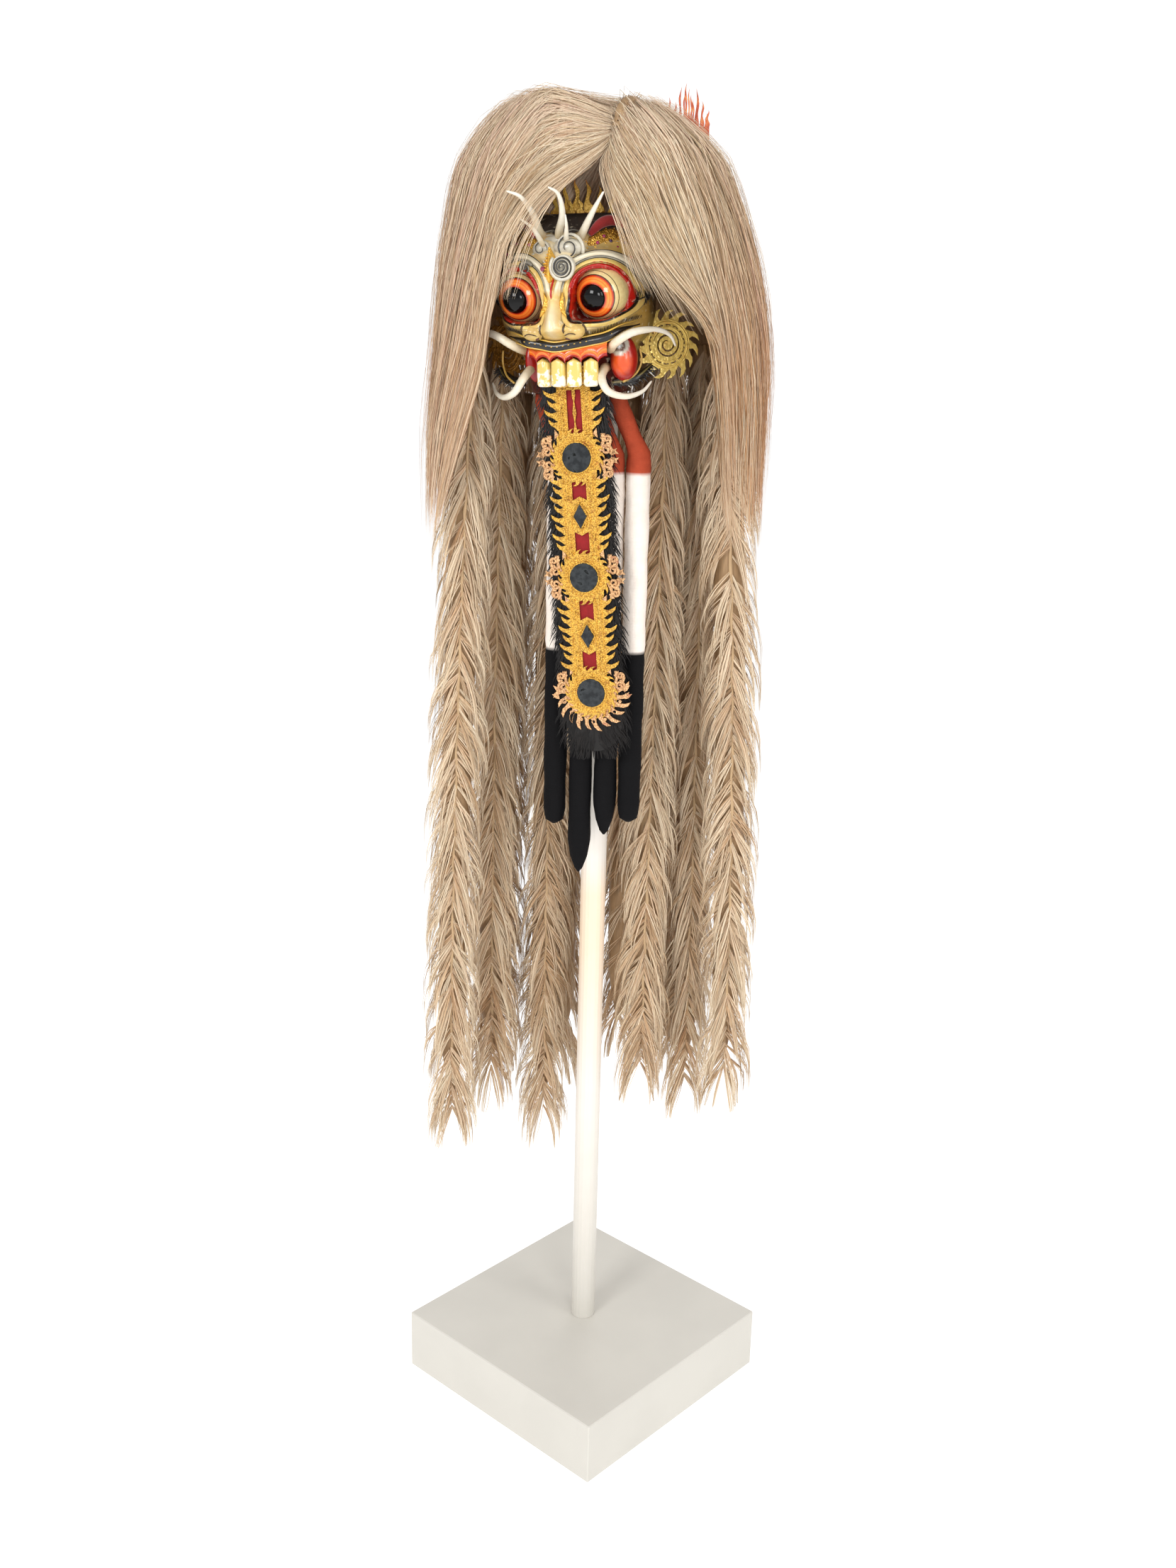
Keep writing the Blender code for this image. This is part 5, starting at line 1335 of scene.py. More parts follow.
def make_brow_plates(scene):
    """Gilt openwork over each brow with glass stones, under a band of red cloth."""
    gilt = scene.mask_gilt
    gold = gold_material("pierced gilt over the brow", gilt.gold, linear("#a8601f"), 0.0024, 0.3,
                         0.6)
    places = []
    bands = Shape()
    rng = np.random.default_rng(8)
    for sign, side in ((1, "right"), (-1, "left")):
        outline = smooth_line([*BROW_PLATE, BROW_PLATE[0]], 80)[:-1]
        ruffle = 1 + 0.035 * np.sin(np.arange(len(outline)) * 1.57)
        centre = outline.mean(axis=0)
        outline = centre + (outline - centre) * ruffle[:, None]
        rings = [outline, centre + (outline - centre) * 0.86, centre + (outline - centre) * 0.5,
                 centre + (outline - centre) * 0.15]
        lifts = (0.0008, 0.0042, 0.006, 0.0064)
        points = []
        for ring, lift in zip(rings, lifts):
            points.append(np.column_stack([sign * ring[:, 0], ring[:, 1],
                                           temple(ring[:, 0], ring[:, 1], lift)]))
        count = len(outline)
        faces = [face if sign > 0 else face[::-1] for face in grid_faces(4, count, True)]
        last = tuple(range(3 * count, 4 * count))
        faces.append(last if sign > 0 else last[::-1])
        shape = Shape()
        shape.add(in_world(np.concatenate(points)), faces)
        made = applied(shape.piece("brow_plate_gilt_" + side), "SOLIDIFY", thickness=0.0012,
                       offset=-1.0)
        hand_over(made, gold, "gilt", "brow_plate_" + side)
        for ring, lift in ((rings[0], 0.0022), (rings[1], 0.005)):
            for spot in ring[::4]:
                places.append((sign * spot[0], spot[1], temple(spot[0], spot[1], lift)))
        for _ in range(26):
            spot = centre + (outline[rng.integers(count)] - centre) * rng.uniform(0.1, 0.75)
            places.append((sign * spot[0], spot[1], temple(spot[0], spot[1], 0.0065)))
        band = [(0.036, 0.096, 0.08), (0.048, 0.11, 0.066), (0.062, 0.113, 0.055),
                (0.078, 0.104, 0.042)]
        line = smooth_line([(sign * u, v, w) for u, v, w in band], 24)
        wide = 0.0068 * np.sin(np.linspace(0.5, math.pi - 0.3, 24))
        sweep(bands, in_world(line), wide, wide * 0.8, FORWARD, 12)
    pearls("brow_plate_pearls", in_world(places), 0.0013, gilt)
    cloth, tree, shader = finish("red velvet piping")
    pile = mixed(tree, 0.6, rgba("#8f1513"), grain(tree, 0.0012, 3.0), "OVERLAY")
    give(shader, {"Base Color": pile, "Roughness": 0.85, "Sheen Weight": 0.4})
    hand_over(bands.piece("brow_piping"), cloth, "red_cloth", "mask_face")
    for name, code, spots in (
        ("pink_gems", "#b8246a", ((0.052, 0.094), (0.068, 0.08), (0.046, 0.086), (-0.066, 0.088),
                                  (-0.044, 0.086), (-0.082, 0.076))),
        ("purple_gems", "#4c2a5e", ((0.076, 0.086), (0.06, 0.088), (-0.056, 0.082))),
        ("coral_beads", "#c5482c", ((0.085, 0.068), (-0.084, 0.066))),
    ):
        gems = [ball("ico_sphere", in_mask(u, v, float(temple(u, v, 0.0072))), subdivisions=2,
                     radius=0.0023) for u, v in spots]
        hand_over(joined("brow_" + name, gems), gem_material(name.replace("_", " "), code), "gilt")
    boss = ball("uv_sphere", in_mask(-0.053, 0.098, float(temple(-0.053, 0.098, 0.006))),
        "brow_boss", segments=24, ring_count=16, radius=0.0062)
    hand_over(boss, gold_material("amber glass boss", linear("#d8b13c"), linear("#7a4d12"), 0.003,
                                  0.12), "gilt")


def flame_wall(width, heights, base, steps=9):
    """Outline of upright wavy flames, one for each height, on a band."""
    points = [(-width / 2, 0.0), (width / 2, 0.0)]
    pitch = width / len(heights)
    for index, tall in enumerate(reversed(heights)):
        left = width / 2 - pitch * (index + 1)
        for side in (1, 0):
            order = range(steps) if side else range(steps - 1, -1, -1)
            for step in order:
                share = step / (steps - 1)
                waist = (1 - share) ** 0.75 * (0.74 + 0.26 * math.sin(share * 11.0))
                sway = 0.2 * pitch * math.sin(share * 9.0 + index) * share
                half = 0.5 * pitch * waist * 0.9
                x = left + pitch / 2 + sway + (half if side else -half)
                if side or step < steps - 1:
                    points.append((x, base + (tall - base) * share))
    return points


def make_crown(scene):
    """The gilt flames at the top of the forehead, bent round it, redder at their tips."""
    material, tree, shader = finish("gilt flames with red tips")
    place = added(tree, "TexCoord").outputs["Object"]
    height = added(tree, "SeparateXYZ", {"Vector": place}).outputs["Z"]
    share = spread_out(tree, height, 1.8, 1.85)
    tint = ramp(tree, share, [(0.0, rgba("#c98a34")), (0.25, rgba("#f9cd62")),
        (0.75, rgba("#f4bf52")), (1.0, rgba("#c4602e"))])
    cells = added(tree, "TexVoronoi", {"Vector": place, "Scale": 420.0})
    give(shader, {"Base Color": tint, "Normal": bump(tree, cells, 0.0012, 0.7), "Metallic": 0.2,
        "Roughness": 0.34})
    stand = Matrix.Rotation(math.radians(90), 4, "X")
    layers = []
    for forward, heights, lift in (
        (0.006, (0.022, 0.033, 0.042, 0.047, 0.047, 0.041, 0.032), 0.122),
        (0.012, (0.013, 0.018, 0.023, 0.026, 0.026, 0.022, 0.017, 0.013), 0.119),
    ):
        outline = flame_wall(0.104, heights, 0.006)
        flames = plate("crown_layer", outline, LEATHER, (), stand)
        for spot in flames.data.vertices:
            u, w, v = spot.co.x, -spot.co.y, spot.co.z
            sink = 3.2 * u * u
            spot.co = SEAT @ Vector((u, -(w + forward - 5.0 * u * u), v + lift - sink))
        layers.append(flames)
    crown = joined("crown_flames", layers)
    hand_over(crown, material, "gilt", "crown")


def make_temple_hair(scene):
    """Two black tufts glued at the right temple, and their pair on the left."""
    rng = np.random.default_rng(11)
    starts = []
    for sign in (1, -1):
        for middle in ((0.09, 0.02, 0.052), (0.099, 0.017, 0.038)):
            for _ in range(70):
                jitter = rng.normal(0, 0.0026, 3)
                starts.append((sign, np.array(middle) + jitter))
    paths, sides = [], []
    for sign, foot in starts:
        lean = rng.normal(0, 0.35)
        rise = rng.uniform(0.007, 0.012)
        share = np.linspace(0, 1, 5)[:, None]
        step = np.array([0.25 + 0.3 * lean, 0.9, 0.45])
        line = foot + share * step * rise
        line[:, 0] *= sign
        paths.append(in_world(line))
        sides.append(np.broadcast_to(unit(np.array([rng.normal(), rng.normal(), rng.normal()])),
            (5, 3)))
    shape = Shape()
    widths = np.broadcast_to(np.array([0.0009, 0.0009, 0.0008, 0.0006, 0.0002]), (len(paths), 5))
    dye = np.broadcast_to(np.array(linear("#17120f")), (len(paths), 5, 3))
    ribbons(shape, np.array(paths), np.array(sides), widths, dye=dye)
    hand_over(shape.piece("temple_hair"), hair_material("black temple tufts"), "black_fur",
              "mask_face")


def spiral_slit(centre, start_radius, end_radius, turns, width, start):
    """Outline of a slit that winds outwards."""
    inner, outer = [], []
    count = int(22 * turns)
    for step in range(count + 1):
        share = step / count
        radius = start_radius + (end_radius - start_radius) * share
        angle = start + 2 * math.pi * turns * share
        half = width / 2 * min(1.0, 0.3 + 4 * share, 0.3 + 4 * (1 - share))
        for side, reach in ((inner, radius - half), (outer, radius + half)):
            side.append((centre[0] + reach * math.cos(angle), centre[1] + reach * math.sin(angle)))
    return outer + inner[::-1]


def crescent(centre, inner, outer, start, run, steps=5):
    points = []
    for radius, order in ((outer, range(steps + 1)), (inner, range(steps, -1, -1))):
        for step in order:
            angle = start + run * step / steps
            swell = 1.0 if radius == outer else 1 + 0.06 * math.cos(math.pi * (step / steps - 0.5))
            points.append((centre[0] + radius * swell * math.cos(angle),
                           centre[1] + radius * swell * math.sin(angle)))
    return points


def make_ears(scene):
    """Round ear plates: a spiral slit, a ring of small slits, and curling flames outside."""
    # Lit and shaded copies of one gilt: the right plate is painted brighter as painted light, the
    # left darker as painted shade.
    bright = gold_material("gilt ear plate in painted light", linear("#ffdf7c"), linear("#f5bd5a"), 0.005,
        0.3, 0.03)
    give(bright.node_tree.nodes["Principled BSDF"], {"Metallic": 0.2})
    painted_shade_plate = gold_material("gilt ear plate in painted shade", linear("#b98534"), linear("#6f4a1e"), 0.004, 0.34,
        0.2)
    for sign, side, material in ((1, "right", bright), (-1, "left", painted_shade_plate)):
        centre = (EAR_RADIUS * 0.86, -0.001)
        outline = [(max(x, LEATHER / 2), y)
                   for x, y in flame_ring(centre, 0.0315, EAR_RADIUS, 15, 0.2)]
        holes = [spiral_slit(centre, 0.0042, 0.02, 2.3, 0.0022, 1.0)]
        holes += [crescent(centre, 0.0235, 0.0262, 0.45 * step, 0.3) for step in range(14)]
        outline = [(sign * x, y) for x, y in outline]
        holes = [[(sign * x, y) for x, y in hole] for hole in holes]
        place = (
            SEAT
            @ Matrix.Translation((sign * EAR_RIM, 0.0042, EAR_HEIGHT))
            @ Matrix.Rotation(sign * EAR_FLARE, 4, "Z")
            @ Matrix.Rotation(math.radians(90), 4, "X")
        )
        made = plate("ear_plate_" + side, outline, LEATHER, holes, place, 0.0004)
        hand_over(made, material, "gilt", "ear_ornament_" + side)
        rims = Shape()
        for radius, size in ((0.0222, 0.0009), (0.029, 0.0011), (0.0318, 0.0008)):
            ring = np.array([(sign * x, y, LEATHER / 2) for x, y in circle(centre, radius, 60)])
            ring = np.vstack([ring, ring[:1]])
            sweep(rims, moved(place, ring), size, size,
                np.array(place.to_3x3() @ Vector((0, 0, 1))), 8)
        hand_over(rims.piece("ear_rims_" + side), material, "gilt")


TONGUE = (
    SEAT
    @ Matrix.Translation((TONGUE_SHIFT, -TONGUE_FRONT, TONGUE_TOP))
    @ Matrix.Rotation(TONGUE_LEAN, 4, "Y")
    @ Matrix.Rotation(math.radians(90), 4, "X")
)


def on_tongue(points):
    """World points from (across, down, forward) on the tongue's front face."""
    points = np.asarray(points, float)
    return moved(TONGUE, np.stack([points[..., 0], -points[..., 1], points[..., 2]], axis=-1))


TONGUE_UP = np.array(TONGUE.to_3x3() @ Vector((0.0, 0.0, 1.0)))


def band_outline():
    """Right side of the tongue from top to bottom: flames that lick upwards."""
    right = [(TONGUE_BAND - 0.003, 0.0), (TONGUE_BAND - 0.003, -0.028)]
    pitch = 0.0125
    down = 0.032
    while down < ROUND_MIRRORS[-1] - 0.012:
        near = min(abs(down + pitch / 2 - mirror) for mirror in ROUND_MIRRORS)
        if near > HALO_RADIUS - 0.004:
            tall = 0.0185 - 0.005 * (len(right) // len(FLAME) % 2)
            for along, out in FLAME:
                right.append((TONGUE_BAND - 0.003 + tall * out, -(down + pitch * along)))
        else:
            right.append((TONGUE_BAND - 0.003, -down))
        down += pitch
    return right


def make_tongue(scene):
    gilt = scene.mask_gilt
    leaf = gold_material("embossed gold leaf on the tongue", gilt.gold, linear("#c98432"), 0.0024,
                         0.3, 0.55)
    rosy = gold_material("rubbed gold on the flame edges", gilt.rosy_gold, linear("#c08060"),
        0.0024, 0.3, 0.45)
    right = band_outline()
    left = [(-x, y) for x, y in reversed(right)]
    holes = []
    stops = (0.03, *sorted(ROUND_MIRRORS + DIAMOND_MIRRORS))
    for above, below in zip(stops, stops[1:]):
        top = above if above == 0.03 else above + (0.027 if above in ROUND_MIRRORS else 0.021)
        bottom = below - (0.027 if below in ROUND_MIRRORS else 0.021)
        half = 0.0098
        notch = 0.005
        if above == 0.03:
            for side in (-1, 1):
                wavy = [(side * (0.0016 + 0.001 * math.sin(step * 1.9)),
                         -(bottom + (top - bottom) * step / 8)) for step in range(9)]
                holes.append([(side * half, -top), (side * half, -bottom), *wavy])
        else:
            holes.append([(-half, -top), (0.0, -(top + notch)), (half, -top), (half, -bottom),
                          (0.0, -(bottom - notch)), (-half, -bottom)])
    band = plate("tongue_band", right + left, LEATHER, holes, TONGUE @ Matrix.Translation(
        (0.0, 0.0, LEATHER / 2)))
    hand_over(band, leaf, "gilt", "tongue_leather")
    make_halos(leaf, rosy)
    make_tongue_pearls(gilt, leaf, stops)
    make_tongue_backing(scene)


def make_halos(leaf, rosy):
    halos, edges = [], []
    for index, mirror in enumerate(ROUND_MIRRORS):
        last = index == len(ROUND_MIRRORS) - 1
        centre = (0.0, -mirror)
        lift = Matrix.Translation((0.0, 0.0, LEATHER * 1.25))
        outline = flame_ring(centre, 0.031, HALO_RADIUS + 0.002, 22)
        halos.append(plate("halo", outline, LEATHER * 0.9,
            [circle(centre, MIRROR_RADIUS - 0.001, 40)], TONGUE @ lift))
        for side in (-1, 1):
            edges.extend(side_scroll(centre, side, last))
        if last:
            outline = flame_ring(centre, HALO_RADIUS - 0.003, HALO_RADIUS + 0.02, 13,
                                 math.radians(12), math.radians(-204))
            outline = [*outline, (-0.02, centre[1] + 0.004), (0.02, centre[1] + 0.004)]
            holes = []
            for step in range(7):
                angle = math.radians(-18 - 24 * step)
                spot = (centre[0] + 0.0415 * math.cos(angle), centre[1] + 0.0415 * math.sin(angle))
                holes.append(circle(spot, 0.0024, 8, angle))
            edges.append(plate("halo_end", outline, LEATHER, holes,
                               TONGUE @ Matrix.Translation((0.0, 0.0, LEATHER / 2))))
    hand_over(joined("tongue_halos", halos), leaf, "gilt", "tongue_leather")
    hand_over(joined("tongue_scrolls", edges), rosy, "gilt", "tongue_leather")


def side_scroll(centre, side, last):
    """Openwork scrolls beside a mirror, with flames outside."""
    made, down = [], -centre[1]
    for upper in ((1, -1) if not last else (1,)):
        shape = Shape()
        for start, size, turns in (((0.0405, 0.0085), 0.0072, 1.5), ((0.042, 0.0225), 0.005, 1.3)):
            count = int(30 * turns)
            share = np.linspace(0, 1, count)
            radius = size * (1 - 0.82 * share)
            angle = -0.9 + 2 * math.pi * turns * share
            x = start[0] + radius * np.cos(angle)
            y = start[1] + radius * np.sin(angle)
            line = np.column_stack([side * x, down - upper * y, np.full(count, 0.0012)])
            sweep(shape, on_tongue(line), 0.002, 0.0013, TONGUE_UP, 7)
        arc = [(side * 0.03, down - upper * 0.004, 0.001),
               (side * 0.036, down - upper * 0.0175, 0.001),
               (side * 0.036, down - upper * 0.03, 0.001)]
        sweep(shape, on_tongue(smooth_line(arc, 14)), 0.0025, 0.0013, TONGUE_UP, 7)
        made.append(shape.piece("scroll"))
        flames = []
        for step in range(6):
            angle = math.radians(-8 + 15 * step)
            reach = 0.0475 - 0.0012 * step
            foot = (side * reach * math.cos(angle), -(down - upper * reach * math.sin(angle) * 0.8))
            lean = angle + math.radians(25)
            tip = (foot[0] + side * 0.0105 * math.cos(lean),
                foot[1] + upper * 0.0105 * math.sin(lean))
            wide = 0.0042
            across = (-math.sin(angle) * wide * side, math.cos(angle) * wide * upper)
            middle = ((foot[0] + tip[0]) / 2 + across[0] * 0.1,
                (foot[1] + tip[1]) / 2 - across[1] * 0.5)
            flames.append([(foot[0] - across[0], foot[1] - across[1]),
                           (middle[0] - across[0] * 0.6, middle[1] - across[1] * 0.6), tip,
                           (middle[0] + across[0] * 0.7, middle[1] + across[1] * 0.7),
                           (foot[0] + across[0], foot[1] + across[1])])
        for flame in flames:
            made.append(plate("flame", flame, LEATHER * 0.8, (),
                              TONGUE @ Matrix.Translation((0.0, 0.0, LEATHER / 2)), 0.0002))
    return made


def make_tongue_pearls(gilt, leaf, stops):
    """Rows of pearls beside the windows and round each mirror, and the rims they sit by."""
    places = []
    down = 0.004
    while down < ROUND_MIRRORS[-1] - 0.028:
        if min(abs(down - mirror) for mirror in ROUND_MIRRORS) > 0.029:
            for x in (-0.0215, -0.013, 0.013, 0.0215):
                places.append((x, down, LEATHER))
        down += 0.0036
    for row in range(4):
        for x in np.linspace(-0.018, 0.018, 9):
            places.append((x, 0.004 + 0.0055 * row, LEATHER))
    for mirror in ROUND_MIRRORS:
        for radius, count in ((0.0235, 30), (0.027, 36)):
            for x, y in circle((0.0, -mirror), radius, count):
                places.append((x, -y, LEATHER * 1.7))
    for mirror in DIAMOND_MIRRORS:
        for step in range(24):
            share = step / 24 * 4
            corner, part = int(share), share - int(share)
            ends = ((0.0125, 0.0), (0.0, 0.0205), (-0.0125, 0.0), (0.0, -0.0205), (0.0125, 0.0))
            x = ends[corner][0] * (1 - part) + ends[corner + 1][0] * part
            y = ends[corner][1] * (1 - part) + ends[corner + 1][1] * part
            places.append((x, mirror + y, LEATHER * 1.2))
    pearls("tongue_pearls", on_tongue(places), gilt.pearl, gilt, "tongue_leather")
    rims = Shape()
    for mirror in ROUND_MIRRORS:
        ring = circle((0.0, -mirror), MIRROR_RADIUS + 0.0008, 64)
        ring = np.array([(x, -y, 0.004) for x, y in [*ring, ring[0]]])
        sweep(rims, on_tongue(ring), 0.0014, 0.0012, TONGUE_UP, 8)
    for mirror in DIAMOND_MIRRORS:
        corners = [(0.01, 0.0), (0.0, 0.0172), (-0.01, 0.0), (0.0, -0.0172), (0.01, 0.0)]
        for a, b in zip(corners, corners[1:]):
            line = np.linspace((a[0], mirror + a[1], 0.0034), (b[0], mirror + b[1], 0.0034), 6)
            sweep(rims, on_tongue(line), 0.0013, 0.0012, TONGUE_UP, 7)
    for x in (-0.0172, 0.0172):
        for above, below in zip(stops, stops[1:]):
            line = np.linspace((x, above + 0.022, 0.0022), (x, below - 0.022, 0.0022), 10)
            sweep(rims, on_tongue(line), 0.0016, 0.001, TONGUE_UP, 7)
    hand_over(rims.piece("tongue_rims"), leaf, "gilt", "tongue_leather")


def make_tongue_backing(scene):
    """Goat hair strip behind the leather, red cloth in its windows, and the mirrors."""
    rng = np.random.default_rng(3)
    count = 4400
    down = rng.uniform(0.0, 1.0, count) ** 0.8 * (FUR_LENGTH - 0.008)
    side = np.where(rng.uniform(size=count) < 0.5, -1.0, 1.0)
    half = FUR_HALF_WIDTH * np.sqrt(np.clip((FUR_LENGTH - down) / 0.04, 0.02, 1.0))
    low_end = down > FUR_LENGTH - 0.05
    x = side * half * np.where(low_end, rng.uniform(0.0, 1.2, count),
        rng.uniform(0.55, 1.15, count))
    length = rng.uniform(0.02, 0.038, count)
    lean = rng.uniform(0.05, 0.85, count) * side
    share = np.linspace(0, 1, 6)[None, :]
    path = np.stack([
        x[:, None] + np.sin(lean)[:, None] * length[:, None] * (share - 0.35 * share**2),
        down[:, None] + np.cos(lean)[:, None] * length[:, None] * share * 0.9,
        -0.0045 + rng.uniform(-0.003, 0.003, count)[:, None] + 0.003 * share * rng.uniform(
            -1, 1, count)[:, None],
    ], axis=-1)
    path[..., 1] = np.minimum(path[..., 1], FUR_LENGTH + 0.01)
    world = on_tongue(path)
    tangent = unit(np.gradient(world, axis=1))
    across = unit(np.cross(tangent, TONGUE_UP))
    widths = 0.0013 * np.array([1.0, 1.0, 0.9, 0.75, 0.5, 0.12]) * np.ones((count, 1))
    tone = rng.uniform(0.3, 1.4, count)[:, None, None]
    dye = np.array(linear("#120d0b")) * tone * np.ones((count, 6, 3))
    shape = Shape()
    ribbons(shape, world, across, widths, dye=dye)
    hand_over(shape.piece("tongue_fur_hair"), hair_material("black goat hair"), "black_fur")
    skin, tree, shader = finish("black goat hide")
    nap = grain(tree, 0.0012, 3.0, (1.0, 1.0, 0.1))
    tint = ramp(tree, nap, [(0.3, rgba("#080606")), (0.7, rgba("#15100d"))])
    give(shader, {"Base Color": tint, "Normal": bump(tree, nap, 0.001, 0.6), "Roughness": 0.75})
    cloth, tree, shader = finish("red cotton behind the tongue")
    place = added(tree, "TexCoord").outputs["Object"]
    # Threads a third of a millimetre apart would not show, so they are drawn at one millimetre
    weave = added(tree, "TexWave", {"Vector": place, "Scale": 160.0, "Distortion": 1.0})
    tint = mixed(tree, 0.35, rgba(scene.mask_gilt.cloth_red), grain(tree, 0.006, 4.0), "OVERLAY")
    give(shader, {"Base Color": tint, "Normal": bump(tree, weave.outputs["Fac"], 0.0003, 0.5),
        "Roughness": 0.85})
    glass, tree, shader = finish("old silvered mirror")
    foxed = ramp(tree, grain(tree, 0.008, 7.0),
        [(0.4, rgba("#3c3e40")), (0.62, rgba("#505355")), (0.72, rgba("#232423"))])
    give(shader, {"Base Color": foxed, "Metallic": 1.0, "Roughness": 0.16,
        "Specular IOR Level": 0.3})
    end = [(0.04 * math.cos(a), -(FUR_LENGTH - 0.045) - 0.044 * math.sin(a))
           for a in np.linspace(0, math.pi, 17)]
    hide = plate("tongue_hide", [(-0.03, -0.004), (0.03, -0.004), *end], 0.003, (),
                 TONGUE @ Matrix.Translation((0.0, 0.0, -0.0045)), 0.001)
    hand_over(hide, skin, "black_fur", "tongue_fur")
    low, high = 0.022, ROUND_MIRRORS[-1] - 0.018
    steps = 60
    drop = np.linspace(low, high, steps)
    rows = []
    for x in np.linspace(-0.0165, 0.0165, 9):
        rows.append(np.column_stack([np.full(steps, x), drop,
                                     -0.0012 + 0.0007 * np.sin(drop * 190 + x * 160)]))
    grid = on_tongue(np.stack(rows, axis=1)).reshape(-1, 3)
    shape = Shape()
    shape.add(grid, turned_over(grid_faces(steps, 9)))
    strip = applied(shape.piece("tongue_cloth_strip"), "SOLIDIFY", thickness=0.0012, offset=-1.0)
    hand_over(strip, cloth, "red_cloth", "tongue_cloth")
    for index in range(1, 6):
        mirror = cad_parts["mirror_" + str(index)]
        mirror.data.materials.clear()
        mirror.data.materials.append(glass)


def make_cloth_tubes(scene):
    """Cotton tubes stuffed with kapok: rust, cream and black lengths sewn end to end."""
    gilt = scene.mask_gilt
    material, tree, shader = finish("stuffed cotton tubes")
    place = added(tree, "TexCoord").outputs["Object"]
    height = added(tree, "SeparateXYZ", {"Vector": place}).outputs["Z"]
    share = spread_out(tree, height, 0.9, 1.6)
    cream_at, black_at = (CREAM_TOP - 0.9) / 0.7, (BLACK_TOP - 0.9) / 0.7
    black, cream, rust = (rgba("#0a090b"), rgba(gilt.cream), rgba(gilt.rust))
    tint = ramp(tree, share, [(0.0, black), (black_at - 0.002, black), (black_at + 0.002, cream),
        (cream_at - 0.002, cream), (cream_at + 0.002, rust), (1.0, rust)])
    worn = mixed(tree, 0.25, tint, grain(tree, 0.01, 5.0), "OVERLAY")
    give(shader, {"Base Color": worn})
    # Cotton threads would not show at this distance, so the weave is drawn at one millimetre
    weave = added(tree, "TexWave", {"Vector": place, "Scale": 170.0, "Distortion": 0.6},
                  bands_direction="Z")
    creases = grain(tree, 0.016, 3.0, (1.0, 1.0, 0.35))
    folds = bump(tree, creases, 0.004, 0.5)
    cloth = added(tree, "Bump", {
        "Height": weave.outputs["Fac"], "Distance": 0.0003, "Strength": 0.4, "Normal": folds
    })
    give(shader, {"Normal": cloth, "Roughness": 0.8, "Specular IOR Level": 0.15})
    rng = np.random.default_rng(6)
    for index, (u, end, pointed) in enumerate(CLOTH_TUBES):
        node = "cloth_tube_" + str(index + 1)
        low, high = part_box(node)
        top = np.array(SEAT @ Vector((u, -TUBE_TOP_FORWARD, FACE_BOTTOM)))
        top[2] = high.z - 0.0005
        end = np.array(end)
        share_down = np.concatenate([np.linspace(0, 0.96, 60), np.linspace(0.965, 1.0, 8)])
        swing = np.clip((share_down - 0.02) / 0.11, 0, 1)[:, None]
        path = top * (1 - swing) + end * swing
        path[:, 2] = top[2] + (end[2] - top[2]) * share_down
        full = np.interp(share_down, (0, 0.1, 0.14, 0.93, 0.965, 0.99, 1.0),
                         (0.0122, 0.0122, 0.0165, 0.016,
                          *((0.012, 0.0062, 0.0012) if pointed else (0.015, 0.0125, 0.004))))
        seams = bell(path[:, 2], CREAM_TOP, 0.003) + bell(path[:, 2], BLACK_TOP, 0.003)
        full = full * (1 - 0.07 * seams) + 0.0005 * np.sin(share_down * 47 + index * 2)
        full = np.clip(full + rng.normal(0, 0.00016, len(full)), 0.0006, None)
        shape = Shape()
        sweep(shape, path, full, full * 0.94, np.array([0.0, -1.0, 0.0]), 28)
        tube = shape.piece(node + "_stuffed")
        hand_over(tube, material, "rust_cloth", node)


def make_crest(scene):
    """The lacquered flame plate that stands up behind the hair, its gilding worn to red."""
    low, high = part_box("crest_flames")
    outline = flame_wall(high.x - low.x - 0.002, (0.052, 0.07, 0.06, 0.084, 0.089, 0.074,
                                                      0.082, 0.066, 0.055), 0.034, 11)
    place = (
        Matrix.Translation(((low.x + high.x) / 2, (low.y + high.y) / 2, low.z))
        @ Matrix.Rotation(math.radians(90), 4, "X")
    )
    layers = [plate("crest_layer", outline, LEATHER, (), place)]
    small = [(x * 0.8, y * 0.93) for x, y in outline]
    layers.append(plate("crest_layer_front", small, LEATHER * 0.6, (), Matrix.Translation(
        (0.004, -0.0016, 0.0)) @ place))
    crest = joined("crest_red_flames", layers)
    material, tree, shader = finish("red lacquered leather, gilding worn off")
    tint = ramp(tree, grain(tree, 0.01, 6.0),
        [(0.35, rgba("#a8432a")), (0.55, rgba("#c9683f")), (0.7, rgba("#d69a5c"))])
    give(shader, {"Base Color": tint, "Normal": bump(tree, grain(tree, 0.002, 4.0), 0.0006, 0.6),
        "Roughness": 0.45, "Metallic": 0.25})
    hand_over(crest, material, "red_gilt", "crest_flames")


def hair_surface(bearing, drop):
    """A point on the outside of the combed hair."""
    angle = np.radians(bearing)
    radius = HAIR_HALF_WIDTH * np.interp(drop, HAIR_DROPS, HAIR_WIDTHS)
    shift = HAIR_HALF_WIDTH * np.interp(drop, HAIR_DROPS, HAIR_SHIFTS)
    return np.stack([shift + radius * np.cos(angle), HAIR_DEPTH_SHARE * radius * np.sin(angle),
                     HAIR_TOP - HAIR_LENGTH * drop + 0 * radius], axis=-1)


def hair_guides(edge, guides):
    """Guide locks in order from the face to the back, each as 65 points from root to tip."""
    parting = smooth_line(PARTING, 101)
    made = [smooth_line(edge, 65)]
    drops = np.array([0.012, 0.05, 0.117, 0.175, 0.258, 0.342, 0.442, 0.542, 0.642, 0.758, 0.88,
        0.985])
    for crown, hem, along in guides:
        bearing = crown + (hem - crown) * drops**0.6
        line = np.vstack([parting[int(along * 100)][None, :], hair_surface(bearing, drops)])
        made.append(smooth_line(line, 65))
    return np.array(made)


